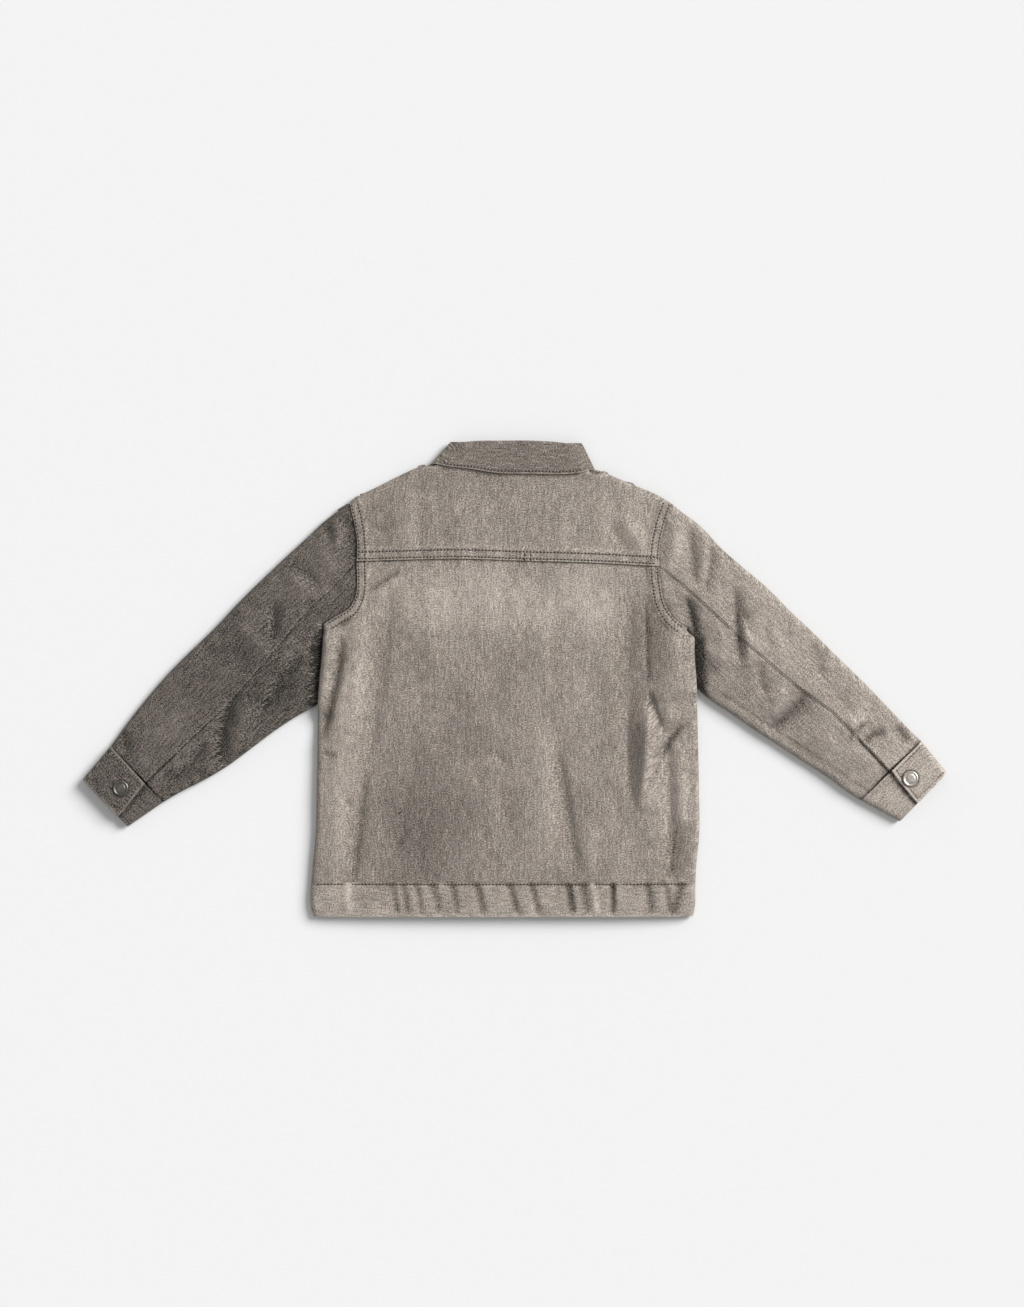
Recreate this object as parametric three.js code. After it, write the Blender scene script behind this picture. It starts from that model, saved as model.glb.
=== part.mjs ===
// A child's denim jacket laid flat on its front, back up, sleeves down and out.
// Millimetres. +X is to the right seen from above, +Y towards the collar, +Z up from the floor.
// Every piece is a wall of cloth. Its outer side follows one height of the laid garment, and its
// inner side lies one wall further in. "Left" is the wearer's left, which is at -X.
import * as THREE from 'three';

// Cloth
const WALL = 1.5;           // one layer of denim with its turnings
const BAND_WALL = 2.4;      // doubled cloth of the hem band and cuffs
const SEAM = 0.3;           // gap between neighbouring pieces
const FOLD_REACH = 5.5;     // how far in from an edge the cloth starts to turn over

// Heights of the laid garment above the floor
const EDGE_HEIGHT = 9.5;    // beside a folded edge
const CROWN = 5.0;          // what the middle rises above that
const CROWN_REACH = 45;
const HEM_DROP = 1.4;       // the band lies lower than the body
const HEM_DROP_REACH = 30;
const NECK_HEIGHT = 11.25;  // back neck seam
const COLLAR_LIFT = 2.1;    // fronts lie on the collar's points
const SNAP_LIFT = 1.3;      // front edge lies on its snaps
const TUCK_LIFT = 6.4;      // body's side lies on the sleeve just below the underarm
const TUCK_HEIGHT = 5.8;    // sleeve where it goes under the body's side
const TUCK_SLOPE = 0.5;

// Front closure: the left front is the outer one, so it is the lower one here
const OVERLAP = 14;         // each front edge passes the centre line
const OVERLAP_GAP = 0.35;
const FRONT_SNAPS = { first: 146, pitch: 73, count: 6, radius: 7.5, height: 1.0 };
const CUFF_SNAP = { radius: 7.8, height: 2.2 };

// Levels along the garment
const HEM_BOTTOM = -237.2;
const HEM_SEAM = -202.6;
const FRONT_NECK = 158.5;

// Places in these tables are x, y pairs seen from above
const SIDES = {
  left: {
    sign: -1,
    side: [[-200.6, -237.2], [-203.1, -228], [-203.3, -210], [-202.3, -201.5], [-201.0, -184],
      [-198.6, -160], [-197.3, -112], [-196.3, -57], [-196.0, -25], [-194.3, -1], [-191.8, 24],
      [-190.9, 39], [-191.3, 53.5]],
    shoulder: [[-74.4, 216.2], [-78, 213.3], [-81.5, 212], [-85.5, 211.8], [-90.3, 212],
      [-106.3, 206.3], [-122.3, 198.6], [-138.3, 190.6], [-154.3, 182.4], [-164.5, 174.4]],
    sleeveTop: [[-164.5, 174.4], [-178.3, 165.5], [-190.3, 156.3], [-202.3, 144.8], [-226.3, 122.8],
      [-250.3, 100.2], [-274.3, 76.5], [-298.3, 51], [-322.3, 28], [-346.3, 3.8], [-370.3, -24.3],
      [-394.3, -55.8], [-402.5, -67.5]],
    sleeveBottom: [[-192.8, 54.2], [-192.2, 42], [-188.5, 31], [-183.5, 18], [-181.5, 4], [-185, -12],
      [-197, -26], [-214.3, -35.8], [-238.3, -51.5], [-262.3, -69.5], [-286.3, -87.3],
      [-310.3, -101.6], [-334.3, -113.8], [-350.9, -123.5]],
    backSeam: [[-157.4, 116.5], [-169.5, 102.5], [-190.5, 82], [-208.5, 65], [-232.5, 35.5],
      [-262.5, 0.5], [-286.3, -26.5], [-313.3, -52], [-334.3, -72], [-366.7, -103.1]],
    armholeTop: [[-164.5, 174.4], [-160.3, 156.5], [-157.2, 138], [-156.8, 126], [-157.4, 116.5]],
    armholeUnder: [[-157.4, 116.5], [-156.8, 100.5], [-158, 84], [-164, 71], [-178, 62], [-191.5, 53.6]],
    underSeamInset: 0,
    cuffOuter: [[-430.5, -100.5], [-385.6, -147.5]],
    flapEnd: [0.66, 0.79],
    snap: [-392.1, -109.1],
    tuckEnd: -25.5,
  },
  right: {
    sign: 1,
    side: [[178.6, -237.2], [180.4, -228], [180.8, -210], [180.9, -201.5], [181.9, -184],
      [184.4, -160], [184.5, -112], [183.3, -57], [182.5, -25], [181.6, -1], [180.0, 20],
      [179.6, 32], [180.2, 41], [173.1, 49.3]],
    shoulder: [[73, 210.8], [74.9, 206.9], [77.8, 204.5], [81.7, 204.3], [86.5, 205.4],
      [101.7, 200.4], [117.7, 193.6], [133.7, 187.4], [146, 181.6], [157, 174.6]],
    sleeveTop: [[157, 174.6], [167.7, 165.8], [179.7, 157.2], [191.7, 146.3], [203.7, 132.8],
      [215.7, 121.8], [227.7, 111.4], [251.7, 91.2], [275.7, 67], [299.7, 44.5], [323.7, 20.5],
      [347.7, -2.6], [371.7, -27.5], [395.7, -52.4], [406.1, -62.3]],
    sleeveBottom: [[174.3, 50.6], [180.8, 44.2], [181.6, 38], [179, 28], [174, 18], [173, 6],
      [182.7, -9], [191.7, -18.3], [215.7, -34.7], [239.7, -51.3], [263.7, -66.7], [287.7, -82.4],
      [311.7, -97.8], [335.7, -115.3], [345.9, -121.5]],
    backSeam: [[144.4, 111.5], [159, 99.5], [174.7, 86.5], [213.7, 50.5], [249.7, 18.5],
      [285.7, -11.5], [315.7, -33.5], [341.7, -59.5], [372.4, -91.9]],
    armholeTop: [[157, 174.6], [150.5, 155], [146.2, 137.3], [144.6, 124], [144.4, 111.5]],
    armholeUnder: [[144.4, 111.5], [145.9, 94.5], [150.3, 74], [159.5, 59.8], [173.3, 49.6]],
    underSeamInset: 12,
    cuffOuter: [[431.6, -93.9], [384.7, -142.5]],
    flapEnd: [0.5, 0.63],
    snap: [394.6, -99.6],
    tuckEnd: -7.5,
  },
};

const YOKE_SEAM = [[-157.4, 116.5], [-107.3, 117.9], [-62.3, 118.9], [8.7, 116.9], [80.7, 114.8],
  [144.4, 111.5]];

// Collar: neck seam, roll and free edge at stations from the centre front up one side
const COLLAR_FRONT = {
  left: [
    { neck: [-3, 158.5], roll: [-3, 174], edge: [-40, 130] },
    { neck: [-26, 161.5], roll: [-18, 177], edge: [-52, 138] },
    { neck: [-46, 170], roll: [-32, 183.5], edge: [-66, 152] },
    { neck: [-61, 184], roll: [-44, 195.5], edge: [-78, 174] },
    { neck: [-69, 200], roll: [-50, 212], edge: [-81, 196] },
    { neck: [-71.4, 214.9], roll: [-55.2, 229.8], edge: [-76.7, 210.5] },
  ],
  right: [
    { neck: [2.5, 158.5], roll: [3, 174], edge: [39.5, 129.5] },
    { neck: [24.5, 161.2], roll: [17, 177], edge: [51, 137] },
    { neck: [44.5, 169], roll: [31, 183], edge: [64.5, 150.5] },
    { neck: [59.5, 182], roll: [43, 194], edge: [76, 171] },
    { neck: [67.5, 197], roll: [49, 211], edge: [79, 192] },
    { neck: [70.2, 211.6], roll: [58, 229.9], edge: [74.1, 205.8] },
  ],
};
const COLLAR_BACK = [
  { neck: [-58, 211.8], roll: [-48, 234], edge: [-63, 211.5] },
  { neck: [-38, 210.3], roll: [-36, 234.6], edge: [-43, 209] },
  { neck: [-12, 209.3], roll: [-12, 234.8], edge: [-14, 204.7] },
  { neck: [15, 208.8], roll: [15, 234.8], edge: [18, 204.3] },
  { neck: [40, 208.8], roll: [38, 233.8], edge: [42, 203.6] },
  { neck: [58, 209.2], roll: [51, 232.4], edge: [62, 204.6] },
];
const COLLAR = { riseAtNeck: 3.825, riseAtRoll: 2.6, fall: 6.0, riseMiddle: 6.675, fallMiddle: 6.75 };
const COLLAR_CLEARANCE = 1.1;  // between the neck seam of the collar and the panels

// Folds of the cloth: a curve from start by mid to end, its half width and its height
const FOLD_COLUMNS = ['x0', 'y0', 'x1', 'y1', 'x2', 'y2', 'half', 'height'];
const BODY_FOLDS = [
  [-150, 78, -158, 5, -172, -90, 16, 2.6], [-172, -70, -178, -130, -179, -208, 15, 1.8],
  [-122, 82, -131, -10, -147, -100, 9, -1.5], [-146, -90, -152, -140, -160, -206, 8, -1.3],
  [-171, 44, -172, 4, -194, -64, 7, -3.0], [-186, 56, -186, 20, -190, -30, 8, 1.5],
  [-113, 108, -129, 100, -150, 84, 8, -1.2], [-136, 143, -128, 152, -118, 158, 9, -1.2],
  [-74, 138, -66, 148, -56, 155, 9, -0.9], [93, 156, 106, 140, 119, 115, 8, -1.4],
  [106, 165, 120, 145, 132, 118, 8, 1.3], [-106, -98, -110, -140, -118, -182, 9, -1.1],
  [20, -40, 34, -100, 34, -192, 14, 1.5], [42, -60, 52, -110, 66, -200, 9, -1.8],
  [58, -78, 84, -62, 118, -32, 8, 1.2], [94, -100, 102, -125, 110, -152, 8, -1.0],
  [138, 84, 140, 20, 134, -60, 9, 3.0], [134, -40, 132, -90, 126, -134, 9, 3.8],
  [118, 78, 128, 20, 116, -30, 8, -1.6], [116, -20, 112, -70, 122, -134, 8, -2.0],
  [176, -43, 148, -50, 126, -126, 6, -2.2], [154, -64, 157, -120, 154, -182, 7, -2.2],
  [166, -64, 167, -120, 168, -170, 7, 1.6], [170, -140, 160, -175, 156, -207, 7, -2.6],
  [-2, -100, -8, -150, -2, -184, 11, -1.0],
];
const SLEEVE_FOLDS = {
  left: [
    [-189, 158, -184, 146, -184, 132, 8, -1.8], [-168, 162, -160, 140, -158, 118, 6, -1.4],
    [-224, 118, -206, 110, -194, 88, 9, -2.2], [-250, 80, -246, 56, -242, 34, 8, -2.2],
    [-280, 58, -258, 36, -234, 12, 8, 1.6], [-314, 28, -290, 24, -264, 18, 8, -1.8],
    [-274, -12, -290, -45, -292, -88, 8, -3.0], [-214, 24, -240, -10, -252, -34, 8, -2.0],
    [-388, -52, -388, -66, -386, -76, 7, -1.6], [-310, -66, -324, -84, -340, -102, 7, -1.6],
  ],
  right: [
    [148, 158, 146, 130, 144, 108, 7, -1.6], [161, 158, 158, 130, 152, 108, 8, 1.8],
    [174, 148, 180, 120, 181, 88, 8, -1.8], [221, 88, 222, 50, 226, 14, 9, -3.2],
    [172, 80, 176, 56, 182, 38, 8, -2.4], [290, -12, 276, -38, 256, -49, 10, -3.2],
    [266, -12, 262, -26, 261, -37, 7, 2.0], [326, -16, 330, -28, 331, -37, 7, -1.4],
    [258, 64, 264, 46, 266, 28, 8, 1.4], [346, -66, 358, -64, 371, -92, 7, -2.2],
  ],
};

const lerp = (a, b, t) => a + (b - a) * t;
const mix = (p, q, t) => [lerp(p[0], q[0], t), lerp(p[1], q[1], t)];
const clamp = (v) => Math.min(1, Math.max(0, v));
const smooth = (v) => clamp(v) ** 2 * (3 - 2 * clamp(v));
const between = (from, to, count) => Array.from({ length: count + 1 }, (_, i) => lerp(from, to, i / count));
const unit = (v) => v.map((c) => c / Math.hypot(...v));

// A smooth curve through a table's points, read at a share of its length
function curve(points) {
  const at = [0];
  points.slice(1).forEach((p, i) => at.push(at[i] + Math.hypot(p[0] - points[i][0], p[1] - points[i][1])));
  const slope = (i, k) => (points[i + 1][k] - points[i][k]) / (at[i + 1] - at[i]);
  const tangent = (i, k) => {
    if (i === 0) return slope(0, k);
    if (i === points.length - 1) return slope(i - 1, k);
    const before = at[i] - at[i - 1];
    const after = at[i + 1] - at[i];
    return (slope(i, k) * before + slope(i - 1, k) * after) / (before + after);
  };
  return (share) => {
    const s = clamp(share) * at[at.length - 1];
    let i = 0;
    while (i < points.length - 2 && s > at[i + 1]) i += 1;
    const step = at[i + 1] - at[i];
    const t = (s - at[i]) / step;
    return [0, 1].map((k) => (2 * t ** 3 - 3 * t ** 2 + 1) * points[i][k]
      + (t ** 3 - 2 * t ** 2 + t) * step * tangent(i, k)
      + (3 * t ** 2 - 2 * t ** 3) * points[i + 1][k]
      + (t ** 3 - t ** 2) * step * tangent(i + 1, k));
  };
}

// An edge of the laid garment, with the cloth on its left or right hand as one walks along it
const EDGE_STEPS = 90;
const edge = (points, hand) => ({ points: between(0, 1, EDGE_STEPS).map(curve(points)), hand });

// The nearest point of some edges: its distance and the direction from it into the cloth
function nearest(edges, x, y) {
  let best = { distance: Infinity };
  edges.forEach(({ points, hand }) => points.slice(1).forEach((q, i) => {
    const p = points[i];
    const along = [q[0] - p[0], q[1] - p[1]];
    const length = Math.hypot(...along);
    const t = clamp(((x - p[0]) * along[0] + (y - p[1]) * along[1]) / length ** 2);
    const off = [x - p[0] - along[0] * t, y - p[1] - along[1] * t];
    const distance = Math.hypot(...off);
    if (distance >= best.distance) return;
    const inward = distance > 0.05 ? unit(off) : [-along[1] * hand / length, along[0] * hand / length];
    best = { distance, inward };
  }));
  return best;
}

// Sum of the folds that pass near a place
const FOLD_STEPS = 14;
function foldCurves(table) {
  return table.map((row) => {
    const f = Object.fromEntries(FOLD_COLUMNS.map((name, i) => [name, row[i]]));
    const bend = (a, b, c, t) => a * (1 - t) ** 2 + 2 * b * t * (1 - t) + c * t ** 2;
    const points = between(0, 1, FOLD_STEPS)
      .map((t) => [bend(f.x0, f.x1, f.x2, t), bend(f.y0, f.y1, f.y2, t), t]);
    return { half: f.half, height: f.height, points };
  });
}
function folds(curves, x, y) {
  return curves.reduce((sum, { points, half, height }) => {
    let near = { distance: Infinity, t: 0 };
    points.forEach(([px, py, t]) => {
      const distance = Math.hypot(x - px, y - py);
      if (distance < near.distance) near = { distance, t };
    });
    const ends = 1 - (2 * near.t - 1) ** 4;
    return sum + height * ends * Math.exp(-((near.distance / half) ** 2));
  }, 0);
}

// The side edge of the body at a level
function sideX(side, y) {
  const points = side.sideEdge.points;
  const i = Math.max(1, points.findIndex((p) => p[1] >= y));
  const last = points[points.length - 1];
  if (y >= last[1]) return last[0];
  return lerp(points[i - 1][0], points[i][0], (y - points[i - 1][1]) / (points[i][1] - points[i - 1][1]));
}

Object.values(SIDES).forEach((side) => {
  const topEdge = [...side.shoulder, ...side.sleeveTop.slice(1)];
  side.underarm = side.armholeUnder[side.armholeUnder.length - 1];
  side.sideEdge = edge(side.side, side.sign);
  side.topEdge = edge(topEdge, -side.sign);
  side.bottomEdge = edge(side.sleeveBottom, side.sign);
  side.foldCurves = foldCurves(SLEEVE_FOLDS[side.sign < 0 ? 'left' : 'right']);
});
const BODY_EDGES = Object.values(SIDES).flatMap((side) => [side.sideEdge, side.topEdge]);
const BODY_FOLD_CURVES = foldCurves(BODY_FOLDS);

// How far the body's side is lifted over the sleeve, at a level between the underarm and where
// the sleeve comes out
const tuckShare = (side, y) => smooth((side.underarm[1] - 4 - y) / 15) * smooth((y - side.tuckEnd + 16) / 12);
const insideSide = (side, x, y) => (sideX(side, y) - x) * side.sign;

function bodyFloor(x, y) {
  const side = x < 0 ? SIDES.left : SIDES.right;
  const tuck = TUCK_LIFT * tuckShare(side, y) * (1 - smooth((insideSide(side, x, y) - 15) / 32));
  const collar = COLLAR_LIFT * (1 - smooth((Math.hypot(x / 112, (y - 214) / 98) - 1) / 0.35));
  return Math.max(tuck, collar);
}
function bodyTop(x, y, distance) {
  const free = EDGE_HEIGHT + CROWN * (1 - Math.exp(-distance / CROWN_REACH))
    - HEM_DROP * Math.exp(-(y - HEM_BOTTOM) / HEM_DROP_REACH)
    + folds(BODY_FOLD_CURVES, x, y);
  const neck = 1 - smooth((Math.hypot(x / 95, (y - 214) / 34) - 0.8) / 0.7);
  const side = x < 0 ? SIDES.left : SIDES.right;
  const lifted = 0.55 * TUCK_LIFT * tuckShare(side, y) * (1 - smooth((insideSide(side, x, y) - 8) / 22));
  return lerp(free, NECK_HEIGHT, neck) + lifted;
}
const BODY = { edges: BODY_EDGES, top: bodyTop, floor: bodyFloor };

function sleeveRegion(side) {
  const top = (x, y, distance) => {
    const wrist = smooth((Math.abs(x) - 330) / 60);
    const free = EDGE_HEIGHT + CROWN * (1 - Math.exp(-distance / CROWN_REACH)) - 1.2 * wrist
      + folds(side.foldCurves, x, y);
    const outside = Math.max(0, -insideSide(side, x, y));
    const limit = TUCK_HEIGHT + TUCK_SLOPE * outside;
    const under = smooth((side.underarm[1] - 1 - y) / 14);
    return free - under * Math.max(0, free - limit);
  };
  return { edges: [side.topEdge, side.bottomEdge], top, floor: () => 0 };
}

// Outer and inner point of a wall at a place seen from above, on its upper (1) or floor (-1) layer.
// Near an edge both turn over in a quarter ellipse that ends halfway up.
function wallPoint(region, [x, y], layer, wall, raise = 0) {
  const { distance, inward } = nearest(region.edges, x, y);
  const high = region.top(x, y, distance);
  const low = region.floor(x, y);
  const middle = (high + low) / 2;
  const half = (high - low) / 2;
  const turned = 1 - Math.min(1, distance / FOLD_REACH);
  const rise = Math.sqrt(1 - turned ** 2);
  const outer = [x, y, middle + layer * half * rise + raise];
  const inner = [x + inward[0] * wall * turned, y + inward[1] * wall * turned,
    middle + layer * (half - wall) * rise + raise];
  return { outer, inner };
}

// Rows of wall points moved in from the seams by half the gap, on the sides that are named
function parted(rows, sides) {
  const gap = SEAM / 2;
  const last = rows.length - 1;
  const end = rows[0].length - 1;
  const moved = rows.map((row) => row.map(({ outer, inner }) => ({ outer: [...outer], inner: [...inner] })));
  const push = (i, j, ti, tj, ni, nj) => ['outer', 'inner'].forEach((face) => {
    const along = unit([0, 1, 2].map((k) => rows[ti[1]][tj[1]][face][k] - rows[ti[0]][tj[0]][face][k]));
    const into = [0, 1, 2].map((k) => rows[ni][nj][face][k] - rows[i][j][face][k]);
    const share = into.reduce((sum, c, k) => sum + c * along[k], 0);
    const square = unit(into.map((c, k) => c - share * along[k]));
    square.forEach((c, k) => { moved[i][j][face][k] += c * gap; });
  });
  for (let j = 0; j <= end; j += 1) {
    const tj = [Math.max(0, j - 1), Math.min(end, j + 1)];
    if (sides.includes('first')) push(0, j, [0, 0], tj, 1, j);
    if (sides.includes('last')) push(last, j, [last, last], tj, last - 1, j);
  }
  for (let i = 0; i <= last; i += 1) {
    const ti = [Math.max(0, i - 1), Math.min(last, i + 1)];
    if (sides.includes('start')) push(i, 0, ti, [0, 0], i, 1);
    if (sides.includes('end')) push(i, end, ti, [end, end], i, end - 1);
  }
  return moved;
}

// A closed wall from rows of outer and inner points
function wallMesh(name, rows, material) {
  const columns = rows[0].length;
  const count = rows.length * columns;
  const position = ['outer', 'inner'].flatMap((face) => rows.flatMap((row) => row.flatMap((p) => p[face])));
  const at = (i, j, face) => face * count + i * columns + j;
  const index = [];
  const quad = (a, b, c, d) => index.push(a, b, c, a, c, d);
  for (let i = 0; i < rows.length - 1; i += 1) {
    for (let j = 0; j < columns - 1; j += 1) {
      quad(at(i, j, 0), at(i, j + 1, 0), at(i + 1, j + 1, 0), at(i + 1, j, 0));
      quad(at(i, j, 1), at(i + 1, j, 1), at(i + 1, j + 1, 1), at(i, j + 1, 1));
    }
  }
  for (let j = 0; j < columns - 1; j += 1) {
    const last = rows.length - 1;
    quad(at(0, j, 0), at(0, j, 1), at(0, j + 1, 1), at(0, j + 1, 0));
    quad(at(last, j, 0), at(last, j + 1, 0), at(last, j + 1, 1), at(last, j, 1));
  }
  for (let i = 0; i < rows.length - 1; i += 1) {
    const last = columns - 1;
    quad(at(i, 0, 0), at(i + 1, 0, 0), at(i + 1, 0, 1), at(i, 0, 1));
    quad(at(i, last, 0), at(i, last, 1), at(i + 1, last, 1), at(i + 1, last, 0));
  }
  const geometry = new THREE.BufferGeometry();
  geometry.setAttribute('position', new THREE.Float32BufferAttribute(position, 3));
  geometry.setIndex(volume(position, index) < 0 ? index.reverse() : index);
  geometry.computeVertexNormals();
  const mesh = new THREE.Mesh(geometry, material);
  mesh.name = name;
  return mesh;
}
function volume(position, index) {
  const corner = (i) => new THREE.Vector3(...position.slice(3 * index[i], 3 * index[i] + 3));
  let sum = 0;
  for (let i = 0; i < index.length; i += 3) sum += corner(i).cross(corner(i + 1)).dot(corner(i + 2)) / 6;
  return sum;
}

const cloth = (color) => new THREE.MeshStandardMaterial({ color, roughness: 0.9, metalness: 0 });
const metal = () => new THREE.MeshStandardMaterial({ color: 0x7d7468, roughness: 0.35, metalness: 0.9 });

// Where rows and columns of the pieces lie. Neighbours share them along a seam.
const ARMHOLE_TOP_STEPS = [0, 0.03, 0.08, 0.16, 0.28, 0.45, 0.7, 1];            // shoulder to back seam
const ARMHOLE_UNDER_STEPS = [0, 0.3, 0.6, 0.82, 0.94, 1];                       // back seam to underarm
const ARMHOLE_FRONT_STEPS = [0, 0.012, 0.035, 0.07, 0.14, 0.28, 0.46, 0.64, 0.8, 0.92, 0.965, 0.99, 1];
const SLEEVE_STEPS = [0, 0.05, 0.1, 0.15, 0.22, 0.29, 0.36, 0.43, 0.5, 0.57, 0.64, 0.71, 0.78, 0.85, 0.92, 1];
const SIDE_ROWS = between(HEM_SEAM, 0, 7).concat([16, 28, 36, 43]);             // then the underarm
const BACK_COLUMNS = [0, 0.02, 0.06, 0.11, ...between(0.16, 0.84, 14), 0.89, 0.94, 0.98, 1];

// Curves of the armhole, the same on the upper layer and the floor layer
Object.values(SIDES).forEach((side) => {
  side.holeTop = curve(side.armholeTop);
  side.holeUnder = curve(side.armholeUnder);
  side.holeFront = curve([...side.armholeTop, ...side.armholeUnder.slice(1)]);
});

// The side seam is on the upper layer, this far in from the edge, and reaches the edge at the underarm
const SIDE_SEAM_INSET = 4;
const seamInset = (side, y) => SIDE_SEAM_INSET * smooth((side.underarm[1] - y) / 30);
function sideRows(side) {
  const corner = [side.underarm[0] - side.sign * 1.4, side.underarm[1] - 0.8];
  return [...SIDE_ROWS.map((y) => [sideX(side, y), y]), corner];
}
function seamPoint(side, [x, y]) {
  return [x - side.sign * seamInset(side, y), y];
}

// Lower back: across from side seam to side seam, then armhole to armhole, up to the yoke
function back() {
  const ends = [SIDES.left, SIDES.right].map((side) => [
    ...sideRows(side).map((p) => seamPoint(side, p)),
    ...ARMHOLE_UNDER_STEPS.slice(0, -1).reverse().map((s) => side.holeUnder(s)),
  ]);
  const top = curve(YOKE_SEAM);
  const rows = ends[0].map((from, i) => {
    const to = ends[1][i];
    const share = smooth((from[1] - 40) / 70);
    return BACK_COLUMNS.map((u) => {
      const bow = top(u)[1] - lerp(YOKE_SEAM[0][1], YOKE_SEAM[YOKE_SEAM.length - 1][1], u);
      const [x, y] = mix(from, to, u);
      return wallPoint(BODY, [x, y + bow * share], 1, WALL);
    });
  });
  return wallMesh('back', parted(rows, ['first', 'last', 'start', 'end']), cloth(0x978d81));
}

// The collar's neck seam along the back, moved towards the body
function besideNeck({ neck, roll }) {
  const rise = unit([roll[0] - neck[0], roll[1] - neck[1]]);
  return [neck[0] - rise[0] * COLLAR_CLEARANCE, neck[1] - rise[1] * COLLAR_CLEARANCE];
}
const BACK_NECK = [COLLAR_FRONT.left[5], ...COLLAR_BACK, COLLAR_FRONT.right[5]].map(besideNeck);

// Yoke: from its seam up to the shoulder edges and the back neck
function yoke() {
  const bottom = curve(YOKE_SEAM);
  const shoulders = [SIDES.left, SIDES.right].map((side) => curve(side.shoulder));
  const neck = curve([SIDES.left.shoulder[0], ...BACK_NECK, SIDES.right.shoulder[0]]);
  const topRow = BACK_COLUMNS.map((u) => {
    if (u < 0.3) return shoulders[0](1 - u / 0.3);
    if (u > 0.7) return shoulders[1]((u - 0.7) / 0.3);
    return neck((u - 0.3) / 0.4);
  });
  const steps = [...ARMHOLE_TOP_STEPS].reverse();
  const rows = steps.map((s) => {
    const from = SIDES.left.holeTop(s);
    const to = SIDES.right.holeTop(s);
    const v = 1 - s;
    return BACK_COLUMNS.map((u, j) => {
      const low = bottom(u);
      const high = topRow[j];
      const straight = mix(low, high, v);
      const leftBow = [0, 1].map((k) => from[k] - lerp(bottom(0)[k], topRow[0][k], v));
      const rightBow = [0, 1].map((k) => to[k] - lerp(bottom(1)[k], topRow[topRow.length - 1][k], v));
      const place = straight.map((c, k) => c + leftBow[k] * (1 - u) ** 3 + rightBow[k] * u ** 3);
      return wallPoint(BODY, place, 1, WALL);
    });
  });
  return wallMesh('yoke', parted(rows, ['first', 'last', 'start', 'end']), cloth(0x90867b));
}

// Round an edge by arc length from the upper layer to the floor layer
const TURN_STEPS = between(0, 16.2, 6);
function turned(inset, arc) {
  const start = Math.acos(1 - inset / FOLD_REACH);
  const angle = start - arc / FOLD_REACH;
  const past = Math.max(0, -angle - Math.PI / 2) * FOLD_REACH;
  const inside = FOLD_REACH * (1 - Math.cos(Math.max(-Math.PI / 2, angle))) + past;
  return { inside, layer: angle > 1e-9 ? 1 : -1 };
}

// A front: from the side seam round the edge to the floor, and across to past the centre front.
// Its rows lie level at the centre, spread between the hem seam and the neck.
const CENTRE = { atHem: -7, atNeck: -0.3 };
const centreX = (y) => lerp(CENTRE.atHem, CENTRE.atNeck, (y - HEM_SEAM) / (FRONT_NECK - HEM_SEAM));
const SHOULDER_LENGTH = 113;
const NECK_FADE = 5;         // power with which the rows take on the curve of shoulder and neck
const ACROSS = [0.17, 0.34, 0.51, 0.68, 0.85];
const FRONTS = {
  left: { ramp: [24, 15.5], raise: SNAP_LIFT },
  right: { ramp: [30, 17], raise: SNAP_LIFT + WALL + OVERLAP_GAP },
};
function frontRaise(name, x, y) {
  const { ramp, raise } = FRONTS[name];
  const out = (x - centreX(y)) * SIDES[name].sign;
  return raise * clamp((ramp[0] - out) / (ramp[0] - ramp[1]));
}
function front(name, color) {
  const side = SIDES[name];
  const { ramp } = FRONTS[name];
  const onSide = sideRows(side);
  const starts = [...onSide, ...ARMHOLE_FRONT_STEPS.slice(0, -1).reverse().map((s) => side.holeFront(s))];
  const shoulder = curve([...side.shoulder].reverse());
  const neck = COLLAR_FRONT[name].map(besideNeck);
  const topRow = [
    ...TURN_STEPS.map((arc) => shoulder(arc / SHOULDER_LENGTH)),
    shoulder(0.6), shoulder(1), neck[4], neck[3], neck[2], neck[1], mix(neck[1], neck[0], 0.5),
    [neck[0][0] - side.sign * OVERLAP, neck[0][1]],
  ];
  const underarmShare = (side.underarm[1] - HEM_SEAM) / (FRONT_NECK - HEM_SEAM);
  const rows = starts.map((start, i) => {
    const past = (i - onSide.length + 1) / (starts.length - onSide.length);
    const level = lerp(HEM_SEAM, FRONT_NECK, i < onSide.length
      ? (start[1] - HEM_SEAM) / (FRONT_NECK - HEM_SEAM) : lerp(underarmShare, 1, past));
    const middle = centreX(level);
    const rest = [...ramp.map((out) => middle + side.sign * out), middle - side.sign * OVERLAP]
      .map((x) => [x, level]);
    const turn = TURN_STEPS.map((arc) => {
      if (i >= onSide.length) {
        const along = unit([rest[0][0] - start[0], rest[0][1] - start[1]]);
        return { place: [start[0] + along[0] * arc, start[1] + along[1] * arc], layer: -1 };
      }
      const { inside, layer } = turned(seamInset(side, start[1]), arc);
      return { place: [start[0] - side.sign * inside, start[1]], layer };
    });
    const from = turn[turn.length - 1].place;
    const flat = [...ACROSS.map((u) => mix(from, rest[0], u)), ...rest]
      .map((place) => ({ place, layer: -1 }));
    return { line: [...turn, ...flat], fade: (i / (starts.length - 1)) ** NECK_FADE };
  });
  const lastLine = rows[rows.length - 1].line;
  const points = rows.map(({ line, fade }) => line.map(({ place, layer }, j) => {
    const [x, y] = place.map((c, k) => c + fade * (topRow[j][k] - lastLine[j].place[k]));
    return wallPoint(BODY, [x, y], layer, WALL, frontRaise(name, x, y));
  }));
  return wallMesh(`front_${name}`, parted(points, ['first', 'last', 'start']), cloth(color));
}

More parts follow.
